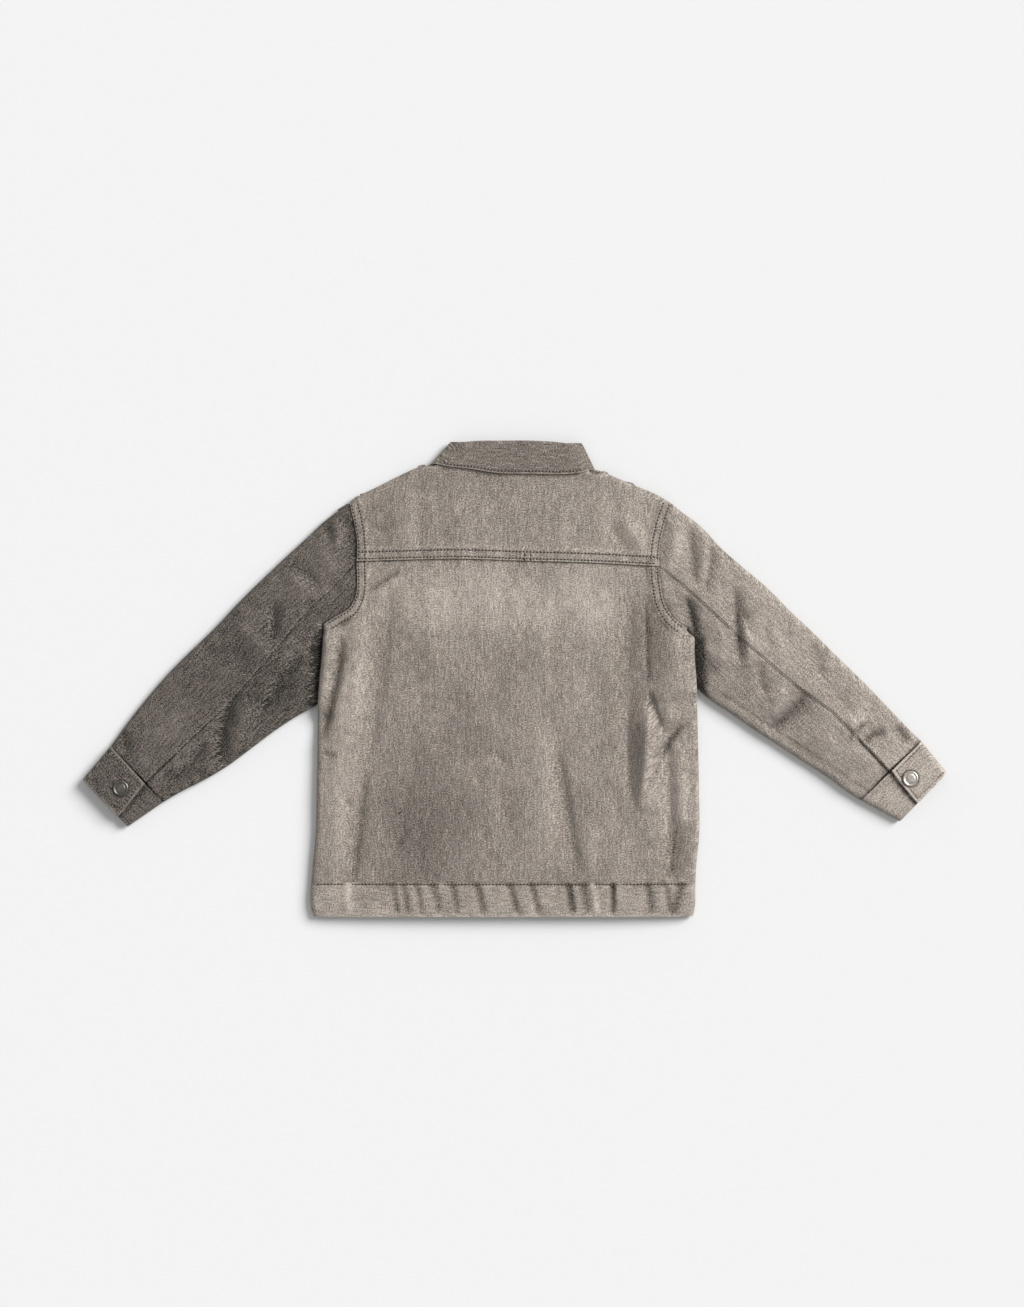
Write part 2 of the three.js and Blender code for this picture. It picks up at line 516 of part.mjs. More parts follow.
// Hem band: one strip from the left front edge round the back to the right front edge
function hemBand() {
  const angles = between(-90, 90, 6).map((a) => a * Math.PI / 180);
  const levels = [HEM_BOTTOM, -226, -214, HEM_SEAM];
  const rows = levels.map((y) => {
    const half = (name) => {
      const side = SIDES[name];
      const { ramp } = FRONTS[name];
      const lift = name === 'left' ? SNAP_LIFT : SNAP_LIFT + BAND_WALL + OVERLAP_GAP;
      const edgeX = sideX(side, y);
      const middle = centreX(y);
      const floor = [middle - side.sign * OVERLAP, middle + side.sign * ramp[1], middle + side.sign * ramp[0],
        ...[0.3, 0.6, 0.85].map((u) => lerp(middle + side.sign * ramp[0], edgeX - side.sign * FOLD_REACH, u))]
        .map((x) => {
          const out = (x - middle) * side.sign;
          const raise = lift * clamp((ramp[0] - out) / (ramp[0] - ramp[1]));
          return wallPoint(BODY, [x, y], -1, BAND_WALL, raise);
        });
      const turn = angles.map((a) => wallPoint(BODY, [edgeX - side.sign * FOLD_REACH * (1 - Math.cos(a)), y],
        a > 1e-9 ? 1 : -1, BAND_WALL));
      return [...floor, ...turn];
    };
    const from = sideX(SIDES.left, y) + FOLD_REACH;
    const to = sideX(SIDES.right, y) - FOLD_REACH;
    const upper = BACK_COLUMNS.slice(1, -1).map((u) => wallPoint(BODY, [lerp(from, to, u), y], 1, BAND_WALL));
    return [...half('left'), ...upper, ...half('right').reverse()];
  });
  return wallMesh('hem_band', parted(rows, ['last']), cloth(0x8f857c));
}

// Sleeve pieces. Stations go from the armhole to the cuff seam. Along the lower edge they first stay
// near the underarm, so that they fan out round it: share of the sleeve, share of the lower edge.
const FAN = [[0, 0], [0.15, 0.02], [0.22, 0.06], [0.29, 0.13], [0.36, 0.22], [0.43, 0.31], [0.5, 0.41],
  [1, 1]];
const ARMHOLE_REACH = 0.17;  // share of the sleeve in which the armhole's curve fades
function fanned(a) {
  const i = Math.max(1, FAN.findIndex(([share]) => share >= a));
  return lerp(FAN[i - 1][1], FAN[i][1], (a - FAN[i - 1][0]) / (FAN[i][0] - FAN[i - 1][0]));
}
function sleevePieces(name, upperColor, underColor) {
  const side = SIDES[name];
  const region = sleeveRegion(side);
  const topLine = curve(side.sleeveTop);
  const lowerEdge = curve(side.sleeveBottom);
  const bottomLine = (a) => lowerEdge(fanned(a));
  const seamLine = curve(side.backSeam);
  const inset = (a) => side.underSeamInset * (0.12 + 0.88 * smooth(a / 0.25));
  const bowed = (from, to, hole, a, w) => {
    const straight = mix(from, to, w);
    const chord = mix(hole(0), hole(1), w);
    return straight.map((c, k) => c + clamp(1 - a / ARMHOLE_REACH) ** 2 * (hole(w)[k] - chord[k]));
  };
  const bottomEnd = (a) => {
    const p = bottomLine(a);
    const q = seamLine(a);
    const width = Math.hypot(p[0] - q[0], p[1] - q[1]);
    return mix(p, q, inset(a) / width);
  };
  const hole = { top: side.holeTop, under: side.holeUnder, front: side.holeFront };
  const upper = SLEEVE_STEPS.map((a) => {
    const over = [...ARMHOLE_TOP_STEPS].reverse()
      .map((w) => wallPoint(region, bowed(topLine(a), seamLine(a), hole.top, a, w), 1, WALL));
    const below = ARMHOLE_FRONT_STEPS.slice(1)
      .map((w) => wallPoint(region, bowed(topLine(a), bottomLine(a), hole.front, a, w), -1, WALL));
    if (!side.underSeamInset) return [...over, ...below];
    const backUp = [0.12, 0.5, 1].map((w) => wallPoint(region, mix(bottomLine(a), bottomEnd(a), w), 1, WALL));
    return [...over, ...below, ...backUp];
  });
  const under = SLEEVE_STEPS.map((a) => ARMHOLE_UNDER_STEPS
    .map((w) => wallPoint(region, bowed(seamLine(a), bottomEnd(a), hole.under, a, w), 1, WALL)));
  const all = ['first', 'last', 'start', 'end'];
  return [
    wallMesh(`sleeve_upper_${name}`, parted(upper, all), cloth(upperColor)),
    wallMesh(`sleeve_under_${name}`, parted(under, all), cloth(underColor)),
  ];
}

// Cuff: from its under end beneath the flap, round by the floor, and over to the flap's end
const CUFF = { flapTop: 12, underTop: 9.1 };
function cuff(name, color) {
  const side = SIDES[name];
  const inner = [side.sleeveTop[side.sleeveTop.length - 1], side.sleeveBottom[side.sleeveBottom.length - 1]];
  const place = (a, c) => mix(mix(inner[0], inner[1], c), mix(side.cuffOuter[0], side.cuffOuter[1], c), a);
  const edges = [
    edge([inner[0], side.cuffOuter[0]], -side.sign),
    edge([inner[1], side.cuffOuter[1]], side.sign),
  ];
  const layerTop = (share) => lerp(CUFF.flapTop, CUFF.underTop, smooth((share - 0.3) / 0.4));
  const region = (height) => ({ edges, top: () => height, floor: () => 0 });
  const near = [0, 0.02, 0.06];
  const rows = [0, 0.35, 0.7, 1].map((a) => {
    const flapEnd = lerp(side.flapEnd[0], side.flapEnd[1], a);
    const beneath = [flapEnd - 0.24, flapEnd - 0.08, flapEnd + 0.03, 0.5 * (flapEnd + 1), 0.94, 0.98];
    const under = beneath.map((c) => wallPoint(region(CUFF.underTop), place(a, c), 1, BAND_WALL));
    const below = [...near.map((c) => 1 - c), 0.8, 0.6, 0.4, 0.2, ...[...near].reverse()]
      .map((c) => wallPoint(region(layerTop(c)), place(a, c), -1, BAND_WALL));
    const over = [0.02, 0.06, 0.2, 0.34, flapEnd - 0.12, flapEnd]
      .map((c) => wallPoint(region(CUFF.flapTop), place(a, c), 1, BAND_WALL));
    return [...under, ...below, ...over];
  });
  return wallMesh(`cuff_${name}`, parted(rows, ['first']), cloth(color));
}

// Collar: a hairpin section, up from the neck seam to the roll and down to the free edge,
// carried round the neck from centre front to centre front
const COLLAR_TURN = [90, 60, 30, 0, -30, -60, -90].map((a) => a * Math.PI / 180);
function collar() {
  const front = (name) => COLLAR_FRONT[name].map((row) => ({ ...row, turn: -Math.PI / 2, out: [0, 0] }));
  const corner = (name) => {
    const row = COLLAR_FRONT[name][5];
    const sign = SIDES[name].sign;
    const along = unit([row.roll[0] - row.edge[0], row.roll[1] - row.edge[1]]);
    const out = sign < 0 ? [-along[1], along[0]] : [along[1], -along[0]];
    return COLLAR_TURN.map((turn) => ({ ...row, turn, out }));
  };
  const backRows = COLLAR_BACK.map((row) => ({ ...row, turn: Math.PI / 2, out: [0, 0] }));
  const stations = [
    ...front('left').slice(0, -1), ...corner('left').reverse(), ...backRows,
    ...corner('right'), ...front('right').slice(0, -1).reverse(),
  ];
  const { riseAtNeck, riseAtRoll, fall, riseMiddle, fallMiddle } = COLLAR;
  const half = (fall - riseAtRoll) / 2;
  const middleLine = stations.map(({ neck, roll, edge: rim, turn, out }) => {
    const rise = unit([roll[0] - neck[0], roll[1] - neck[1]]);
    const up = (share) => ({
      at: mix(neck, roll, share), reach: lerp(riseAtNeck, riseAtRoll, share), zero: riseMiddle,
    });
    const round = [-50, 0, 50].map((a) => a * Math.PI / 180).map((a) => ({
      at: [roll[0] + rise[0] * half * Math.cos(a), roll[1] + rise[1] * half * Math.cos(a)],
      reach: riseAtRoll + half + half * Math.sin(a),
      zero: fallMiddle,
    }));
    const down = (share) => ({ at: mix(roll, rim, share), reach: fall, zero: fallMiddle });
    const section = [up(0), up(0.4), up(0.8), up(1), ...round, down(0), down(0.35), down(0.7), down(1)];
    return section.map(({ at, reach, zero }) => [
      ...at.map((c, k) => c + out[k] * reach * Math.cos(turn)),
      zero + reach * Math.sin(turn),
    ]);
  });
  return wallMesh('collar', thickened(middleLine, WALL), cloth(0x847c72));
}

// A wall about its middle surface
function thickened(grid, wall) {
  const last = grid.length - 1;
  const end = grid[0].length - 1;
  const step = (p, q) => new THREE.Vector3(...p).sub(new THREE.Vector3(...q));
  return grid.map((row, i) => row.map((p, j) => {
    const down = step(grid[Math.min(last, i + 1)][j], grid[Math.max(0, i - 1)][j]);
    const across = step(row[Math.min(end, j + 1)], row[Math.max(0, j - 1)]);
    const normal = down.cross(across).normalize().multiplyScalar(wall / 2);
    return {
      outer: [p[0] + normal.x, p[1] + normal.y, p[2] + normal.z],
      inner: [p[0] - normal.x, p[1] - normal.y, p[2] - normal.z],
    };
  }));
}

// A snap's cap: a flat disc with a rounded rim, closed on its axis
const SNAP_SIDES = 16;
function snap(name, [x, y], foot, { radius, height }) {
  const bend = height / 2;
  const rim = [-90, -45, 0, 45, 90].map((a) => a * Math.PI / 180)
    .map((a) => [radius - bend + bend * Math.cos(a), bend * Math.sin(a)]);
  const profile = [[0, -bend], ...rim, [0, bend]].map(([r, h]) => new THREE.Vector2(r, h));
  const mesh = new THREE.Mesh(new THREE.LatheGeometry(profile, SNAP_SIDES), metal());
  mesh.rotation.x = Math.PI / 2;
  mesh.position.set(x, y, foot + bend);
  mesh.name = name;
  return mesh;
}

const jacket = new THREE.Group();
jacket.add(back(), yoke(), front('left', 0x877e74), front('right', 0x9b9187), hemBand(), collar());
jacket.add(...sleevePieces('left', 0x70695f, 0x635c52), ...sleevePieces('right', 0xb5aca1, 0x9f968b));
jacket.add(cuff('left', 0x5c564c), cuff('right', 0xaea59a));
Object.entries(SIDES).forEach(([name, side]) => {
  jacket.add(snap(`cuff_snap_${name}`, side.snap, CUFF.flapTop + SEAM, CUFF_SNAP));
});
for (let i = 0; i < FRONT_SNAPS.count; i += 1) {
  const y = FRONT_SNAPS.first - i * FRONT_SNAPS.pitch;
  jacket.add(snap(`front_snap_${i + 1}`, [centreX(y), y], bodyFloor(centreX(y), y), FRONT_SNAPS));
}

export default jacket;
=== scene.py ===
"""A child's denim jacket laid flat with its back up: panels, stitching, snaps and a plain stage."""
import math

import bpy
import numpy as np
from bpy.props import FloatProperty, FloatVectorProperty, PointerProperty
from bpy.types import Operator, Panel, PropertyGroup
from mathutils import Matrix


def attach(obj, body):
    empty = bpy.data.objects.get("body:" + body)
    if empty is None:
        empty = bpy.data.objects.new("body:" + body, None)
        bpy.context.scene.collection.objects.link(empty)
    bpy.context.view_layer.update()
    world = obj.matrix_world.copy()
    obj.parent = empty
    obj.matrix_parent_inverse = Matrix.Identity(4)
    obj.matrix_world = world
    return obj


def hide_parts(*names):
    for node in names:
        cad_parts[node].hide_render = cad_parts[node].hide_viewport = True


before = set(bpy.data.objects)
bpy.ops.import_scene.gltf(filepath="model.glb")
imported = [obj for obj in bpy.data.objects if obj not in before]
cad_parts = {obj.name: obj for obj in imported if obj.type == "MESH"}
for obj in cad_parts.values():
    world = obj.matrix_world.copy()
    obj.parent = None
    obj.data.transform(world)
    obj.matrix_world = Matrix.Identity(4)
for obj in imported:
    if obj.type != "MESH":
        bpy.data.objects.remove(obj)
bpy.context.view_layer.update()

bl_info = {
    "name": "Denim jacket laid flat",
    "version": (1, 0, 0),
    "blender": (4, 5, 0),
    "location": "View3D > Sidebar > Jacket",
    "description": "Builds a child's denim jacket that lies back up, panel by panel",
    "category": "Add Mesh",
}

IMAGE = (1024, 1307)                # the photo's width and height, at one millimetre a pixel
IMAGE_CENTRE = (-0.0023, 0.025)     # its middle on the floor, in metres
MM = 0.001

# Stage: floor in millimetres; suns by name, strength, angle in degrees and direction towards them
FLOOR_REACH, FLOOR_LEVEL = 4000, -0.3
WORLD_STRENGTH = 0.42
SUNS = [("key", 3.8, 32, (1.0, 0.60, 0.86)), ("fill", 0.1, 60, (-0.5, -0.4, 1.0))]

# Shapes are worked out in millimetres. +X is to the right seen from above, +Y towards the collar.
# "Left" is the wearer's left, at -X. Places in the tables are x, y pairs.

WALL = 1.5                      # thickness of a layer of cloth with its turnings
BAND_WALL = 2.4                 # of the doubled cloth of hem band and cuffs
HEM_BOTTOM, HEM_SEAM = -237.2, -202.6       # y of the hem band's edges
FRONT_NECK = 158.5              # y of the fronts' top end at the centre
YOKE_LEVEL = 116.0              # y of the yoke's seam at the armholes
SIDE_SEAM_INSET = 4.0           # how far in from the side edge the side seam lies
OVERLAP, OVERLAP_GAP = 14.0, 0.35       # of each front past the centre, and between the two

# Heights: both layers turn over within FOLD_REACH of an edge, and the upper one rises by the crown
FOLD_REACH = 5.5
EDGE_HEIGHT = 9.5
CROWN, CROWN_REACH = 5.0, 45.0
HEM_DROP, HEM_DROP_REACH = 1.4, 30.0
WRIST_DROP, WRIST_X = 1.2, 330.0        # a sleeve is lower from that x outwards
JOIN_REACH = 22.0               # how far from the armhole body and sleeve take on one height
NECK_HEIGHT = 11.25
NECK_Y = 214.0                  # middle of two ellipses round the neck, given by their half axes:
NECK_LEVEL = (95.0, 34.0)       # within the first the body is level under the collar,
NECK_POINTS = (112.0, 98.0)     # within the second the fronts lie on the collar's points
COLLAR_LIFT = 2.1               # of the fronts over the collar's points
SNAP_LIFT = 1.3                 # of a front over its snaps
TUCK_LIFT = 6.4                 # of the body's lower layer where it lies on the sleeve
TUCK_SHOWN = 0.55               # share of it by which the upper layer rises
TUCK_HEIGHT, TUCK_SLOPE = 5.8, 0.5      # of the sleeve beneath the body's edge, and outwards from it
FLAP_TOP, UNDER_TOP = 12.0, 9.1         # of a cuff's flap and of its under end

# Rows of stitches, by their distance from the seam or edge
STITCH_ROWS = (1.9, 8.2)        # of an armhole; the first also of a sleeve's back seam
YOKE_ROWS = (2.6, 9.4)
HEM_ROW = 2.2
CUFF_ROW = 3.2
COLLAR_ROW = 4                  # counted from the free edge in rows of the collar's grid
COLLAR_ROW_LEVEL = 13.0         # it is sewn where it lies higher than this, over the back

SLIT = 46.0                     # length of the open slit at the end of a sleeve's back seam
CUFF_DEPTH = 42.0               # from the sleeve to the cuff's end
CUFF_WIDTH = 72.0
CUFF_TUCKED = 0.24              # share of the width that its under end goes on beneath the flap
FRONT_SNAPS = {"first": 146.0, "pitch": 73.0, "count": 6, "radius": 7.5, "height": 1.0}
CUFF_SNAP = {"radius": 7.8, "height": 2.2, "foot": 12.3, "groove": {"left": 0.42, "right": 0.08}}
# A cap from the middle of its face by the rim to the middle of its foot: shares of radius and height
SNAP_PROFILE = [[0.0, 0.97], [0.25, 0.95], [0.45, 0.90], [0.56, 0.85], [0.63, 0.81], [0.70, 0.80],
                [0.77, 0.86], [0.87, 0.95], [0.95, 0.82], [1.0, 0.48], [0.96, 0.12], [0.9, 0.0],
                [0.45, 0.0], [0.0, 0.0]]

SIDES = {
    "left": {
        "sign": -1,
        "side": [[-200.6, -237.2], [-203.1, -228], [-203.3, -210], [-202.3, -201.5], [-201.0, -184],
                 [-198.6, -160], [-197.3, -112], [-196.3, -57], [-196.0, -25], [-194.3, -1],
                 [-191.8, 24], [-190.9, 39], [-191.3, 53.5]],
        "shoulder": [[-74.4, 216.2], [-78, 213.3], [-81.5, 212], [-85.5, 211.8], [-90.3, 212],
                     [-106.3, 206.3], [-122.3, 198.6], [-138.3, 190.6], [-154.3, 182.4],
                     [-164.5, 174.4]],
        "sleeve_top": [[-164.5, 174.4], [-178.3, 165.5], [-190.3, 156.3], [-202.3, 144.8],
                       [-226.3, 122.8], [-250.3, 100.2], [-274.3, 76.5], [-298.3, 51], [-322.3, 28],
                       [-346.3, 3.8], [-370.3, -24.3], [-394.3, -55.8], [-402.5, -67.5]],
        "sleeve_bottom": [[-191.5, 53.6], [-188.6, 43], [-185.5, 31], [-182.5, 18], [-181.5, 4],
                          [-185, -12], [-197, -26], [-214.3, -35.8], [-238.3, -51.5], [-262.3, -69.5],
                          [-286.3, -87.3], [-310.3, -101.6], [-334.3, -113.8], [-350.9, -123.5]],
        "back_seam": [[-157.4, 116.5], [-169.5, 102.5], [-190.5, 82], [-208.5, 65], [-232.5, 35.5],
                      [-262.5, 0.5], [-286.3, -26.5], [-313.3, -52], [-334.3, -72], [-366.7, -103.1]],
        "hole_top": [[-164.5, 174.4], [-160.3, 156.5], [-157.2, 138], [-156.8, 126], [-157.4, 116.5]],
        "hole_under": [[-157.4, 116.5], [-156.8, 100.5], [-158, 84], [-164, 71], [-178, 62],
                       [-191.5, 53.6]],
        "inset": 0.0,
        "cuff_outer": [[-430.5, -100.5], [-385.6, -147.5]],
        "flap_end": (0.66, 0.79),
        "snap": (-392.1, -109.1),
        "tuck_end": -25.5,
    },
    "right": {
        "sign": 1,
        "side": [[178.6, -237.2], [180.4, -228], [180.8, -210], [180.9, -201.5], [181.9, -184],
                 [184.4, -160], [184.5, -112], [183.3, -57], [182.5, -25], [181.6, -1], [180.0, 20],
                 [179.6, 32], [180.2, 41], [173.1, 49.3]],
        "shoulder": [[73, 210.8], [74.9, 206.9], [77.8, 204.5], [81.7, 204.3], [86.5, 205.4],
                     [101.7, 200.4], [117.7, 193.6], [133.7, 187.4], [146, 181.6], [157, 174.6]],
        "sleeve_top": [[157, 174.6], [167.7, 165.8], [179.7, 157.2], [191.7, 146.3], [203.7, 132.8],
                       [215.7, 121.8], [227.7, 111.4], [251.7, 91.2], [275.7, 67], [299.7, 44.5],
                       [323.7, 20.5], [347.7, -2.6], [371.7, -27.5], [395.7, -52.4], [406.1, -62.3]],
        "sleeve_bottom": [[173.3, 49.6], [176.4, 43.5], [176.8, 37], [175.5, 28], [173, 18], [173, 6],
                          [182.7, -9], [191.7, -18.3], [215.7, -34.7], [239.7, -51.3], [263.7, -66.7],
                          [287.7, -82.4], [311.7, -97.8], [335.7, -115.3], [345.9, -121.5]],
        "back_seam": [[144.4, 111.5], [159, 99.5], [174.7, 86.5], [213.7, 50.5], [249.7, 18.5],
                      [285.7, -11.5], [315.7, -33.5], [341.7, -59.5], [372.4, -91.9]],
        "hole_top": [[157, 174.6], [150.5, 155], [146.2, 137.3], [144.6, 124], [144.4, 111.5]],
        "hole_under": [[144.4, 111.5], [145.9, 94.5], [150.3, 74], [159.5, 59.8], [173.3, 49.6]],
        "inset": 12.0,
        "cuff_outer": [[431.6, -93.9], [384.7, -142.5]],
        "flap_end": (0.50, 0.63),
        "snap": (394.6, -99.6),
        "tuck_end": -7.5,
    },
}
YOKE_SEAM = [[-157.4, 116.5], [-107.3, 117.9], [-62.3, 118.9], [8.7, 116.9], [80.7, 114.8],
             [144.4, 111.5]]
FOLD_STRENGTH = 1.5    # the finely meshed cloth shows its folds sharper than the solids
# Shares along a sleeve's top edge and, for each, along its bottom edge, which starts lower down
FAN = [[0, 0], [0.15, 0.02], [0.22, 0.06], [0.29, 0.13], [0.36, 0.22], [0.43, 0.31], [0.5, 0.41],
       [1, 1]]
ARMHOLE_REACH = 0.17    # share of a sleeve's length over which the armhole's bow fades

# Collar: neck seam, roll and free edge at stations from the centre front up one side and over the back
COLLAR_FRONT = {
    "left": [[-3, 158.5, -3, 174, -40, 130], [-26, 161.5, -18, 177, -52, 138],
             [-46, 170, -32, 183.5, -66, 152], [-61, 184, -44, 195.5, -78, 174],
             [-69, 200, -50, 212, -81, 196], [-71.4, 214.9, -59.0, 231.0, -76.7, 210.5]],
    "right": [[2.5, 158.5, 3, 174, 39.5, 129.5], [24.5, 161.2, 17, 177, 51, 137],
              [44.5, 169, 31, 183, 64.5, 150.5], [59.5, 182, 43, 194, 76, 171],
              [67.5, 197, 49, 211, 79, 192], [70.2, 211.6, 61.8, 230.8, 74.1, 205.8]],
}
COLLAR_BACK = [[-58, 211.8, -48, 234, -63, 211.5], [-38, 210.3, -36, 234.6, -43, 209],
               [-12, 209.3, -12, 234.8, -14, 204.7], [15, 208.8, 15, 234.8, 18, 204.3],
               [40, 208.8, 38, 233.8, 42, 203.6], [58, 209.2, 51, 232.4, 62, 204.6]]
# How far the collar's rise and fall lie from their middle heights: above them over the back, and below
# them at the front
COLLAR = {"rise_neck": 3.825, "rise_roll": 2.6, "fall": 6.0, "rise_middle": 6.675, "fall_middle": 6.75}
COLLAR_CLEARANCE = 1.1
ROLL_TURN = 0.873       # radians by which the roll's section turns either way from level

# Folds: a curve from x0, y0 by x1, y1 to x2, y2, its half width, its height and its lean. A lean of
# 0.4 makes it 0.4 wider on the left hand of one who walks from start to end, and as much narrower on
# the right hand.
BODY_FOLDS = [
    [-150, 78, -158, 5, -172, -90, 17, 2.6, -0.2], [-172, -70, -178, -130, -179, -208, 15, 1.8, 0],
    [-122, 82, -131, -10, -147, -100, 8, -1.5, -0.4],
    [-146, -90, -152, -140, -160, -206, 7, -1.3, -0.4],
    [-171, 44, -172, 4, -194, -64, 6, -3.6, -0.2], [-186, 56, -186, 20, -190, -30, 8, 1.5, 0],
    [-113, 108, -129, 100, -150, 84, 4, -1.3, 0.2], [-108, 102, -128, 92, -146, 76, 7, 1.0, 0],
    [-136, 143, -128, 152, -118, 158, 7, -1.0, 0], [-74, 138, -66, 148, -56, 155, 4, -0.8, 0.3],
    [-107, 200, -104, 150, -108, 126, 9, 0.9, 0], [-52, 190, -56, 165, -66, 140, 6, 0.7, 0],
    [93, 156, 106, 140, 119, 115, 7, -1.4, 0], [106, 165, 120, 145, 132, 118, 7, 1.3, 0],
    [-101, 40, -99, 10, -101, -14, 5, -0.7, 0], [-78, 40, -76, 15, -78, -4, 5, 0.7, 0],
    [-60, -8, -56, -22, -60, -36, 5, -0.7, 0], [-24, -70, -12, -80, -2, -92, 4, -0.8, 0],
    [-106, -98, -110, -140, -118, -182, 7, -1.0, 0.2], [-60, -84, -30, -110, -2, -168, 8, 0.7, 0],
    [20, -40, 34, -100, 34, -192, 14, 1.5, 0], [42, -60, 52, -110, 66, -200, 6, -1.9, -0.3],
    [76, -140, 78, -170, 78, -204, 6, 1.0, 0], [58, -78, 84, -62, 118, -32, 6, 1.2, 0.3],
    [94, -100, 102, -125, 110, -152, 7, -0.9, 0], [-2, -100, -8, -150, -2, -184, 11, -0.9, 0],
    [20, 68, 34, 20, 34, -30, 10, 0.8, 0],
    [156, 66, 160, 20, 154, -26, 13, 2.6, 0], [133, -26, 132, -90, 126, -134, 9, 4.6, 0.3],
    [120, 88, 112, 30, 114, -30, 9, -1.8, 0], [116, -10, 111, -70, 120, -134, 7, -2.4, 0],
    [131, 84, 133, 30, 134, -8, 3.5, -1.5, 0], [134, -12, 140, -32, 150, -54, 4, -2.4, 0],
    [176, -43, 148, -50, 126, -126, 4, -2.4, 0.2],
    [150, -24, 156, -34, 158, -44, 6, 1.4, 0], [154, -64, 157, -120, 154, -182, 6, -2.2, 0],
    [166, -64, 167, -120, 168, -170, 6, 1.6, 0], [170, -140, 160, -175, 156, -207, 7, -2.8, 0.2],
    [160, -94, 168, -98, 182, -92, 5, -0.9, 0], [-192, -72, -186, -78, -176, -76, 4, -1.0, 0],
    [146, 96, 160, 78, 172, 60, 8, 1.6, 0], [150, 70, 160, 60, 168, 58, 4, -0.9, 0],
    [-60, 60, -20, 40, 10, 66, 12, 0.6, 0], [60, 30, 76, 50, 98, 78, 10, 0.9, 0],
]
SLEEVE_FOLDS = {
    "left": [
        [-189, 158, -184, 146, -184, 132, 5, -1.6, 0], [-179, 160, -176, 146, -176, 128, 5, 1.2, 0],
        [-168, 162, -163, 140, -158, 118, 6, -1.6, 0], [-200, 130, -184, 120, -178, 104, 8, 1.5, 0],
        [-224, 118, -206, 110, -192, 88, 7, -2.0, -0.2], [-228, 104, -212, 96, -200, 78, 9, 1.4, 0],
        [-240, 76, -238, 50, -242, 36, 7, -2.6, 0.3], [-230, 76, -226, 62, -234, 46, 8, 1.4, 0],
        [-280, 58, -258, 36, -234, 12, 6, 1.5, 0], [-314, 28, -290, 24, -264, 18, 9, -1.5, 0],
        [-300, 10, -284, 6, -270, 0, 10, 1.3, 0], [-276, -12, -294, -45, -292, -88, 7, -3.0, 0.2],
        [-264, -20, -276, -50, -280, -72, 9, 1.6, 0], [-210, 24, -236, -10, -252, -36, 6, -2.0, 0],
        [-388, -52, -388, -66, -386, -76, 6, -2.0, 0], [-306, -64, -320, -84, -340, -102, 6, -1.8, 0],
        [-316, -50, -330, -62, -346, -84, 7, 1.2, 0], [-352, -95, -344, -101, -336, -96, 6, -1.4, 0],
        [-220, 42, -228, 30, -234, 26, 6, 0.9, 0],
        [-330, -30, -342, -44, -360, -64, 12, 0.9, 0], [-356, -6, -350, -24, -346, -40, 8, -0.8, 0],
    ],
    "right": [
        [152, 158, 148, 130, 146, 108, 5, -2.0, 0], [163, 158, 160, 130, 152, 100, 8, 2.0, 0.2],
        [176, 150, 180, 120, 181, 90, 7, -2.0, 0], [190, 140, 190, 112, 186, 92, 6, 1.3, 0],
        [197, 134, 199, 110, 190, 84, 5, -1.8, 0], [208, 120, 212, 108, 212, 96, 6, 1.0, 0],
        [221, 92, 222, 50, 226, 14, 6, -3.4, 0.2], [232, 60, 234, 30, 232, 10, 8, 1.6, 0],
        [226, 70, 234, 56, 238, 40, 4, -1.4, 0], [172, 80, 176, 56, 182, 38, 7, -2.4, 0],
        [212, 54, 202, 42, 194, 32, 4, -1.4, 0], [200, 60, 210, 40, 206, 14, 8, 1.5, 0],
        [243, 16, 246, 0, 250, -18, 6, -1.5, 0], [254, 54, 262, 40, 268, 18, 6, 1.0, 0],
        [292, -12, 280, -38, 250, -50, 9, -3.4, 0.2], [268, -8, 264, -26, 256, -40, 7, 1.8, 0],
        [294, 40, 300, 24, 308, -2, 7, -1.4, 0], [326, -16, 330, -28, 336, -37, 8, -1.0, 0],
        [300, -50, 306, -60, 322, -64, 9, 1.1, 0], [336, -52, 340, -40, 352, -42, 5, 1.7, 0],
        [349, -65, 357, -56, 370, -54, 5, -2.0, 0], [380, -46, 388, -54, 392, -66, 5, -2.0, 0],
        [336, -70, 350, -80, 362, -88, 8, 1.2, 0], [270, -60, 290, -76, 310, -88, 5, -0.9, 0],
    ],
}
PUCKER_STRENGTH = 2.1
# Puckers of the hem band: x at the seam, x at the bottom, half width, depth
HEM_PUCKERS = [
    [-167, -166, 4, 0.8], [-122, -116, 3, -0.9], [-111, -106, 3, -0.7], [-98, -92, 3, -0.7],
    [-82, -74, 4, -1.0], [-62, -56, 3, -0.8], [-38, -30, 3.5, -1.0], [-6, 4, 3.5, -1.2],
    [16, 25, 3, -1.0], [53, 58, 3, -1.8], [68, 72, 3.5, -1.0], [78, 82, 3, 0.9],
    [98, 98, 2.5, -1.8], [132, 137, 3.5, -1.0], [150, 156, 3.5, -1.0], [166, 158, 4, -1.2],
]

# Short stitched bars across the yoke's seam: their x, and from which y to which
BAR_TACKS = [10.2, 16.4]
BAR_TACK_ENDS = (118.4, 127.6)

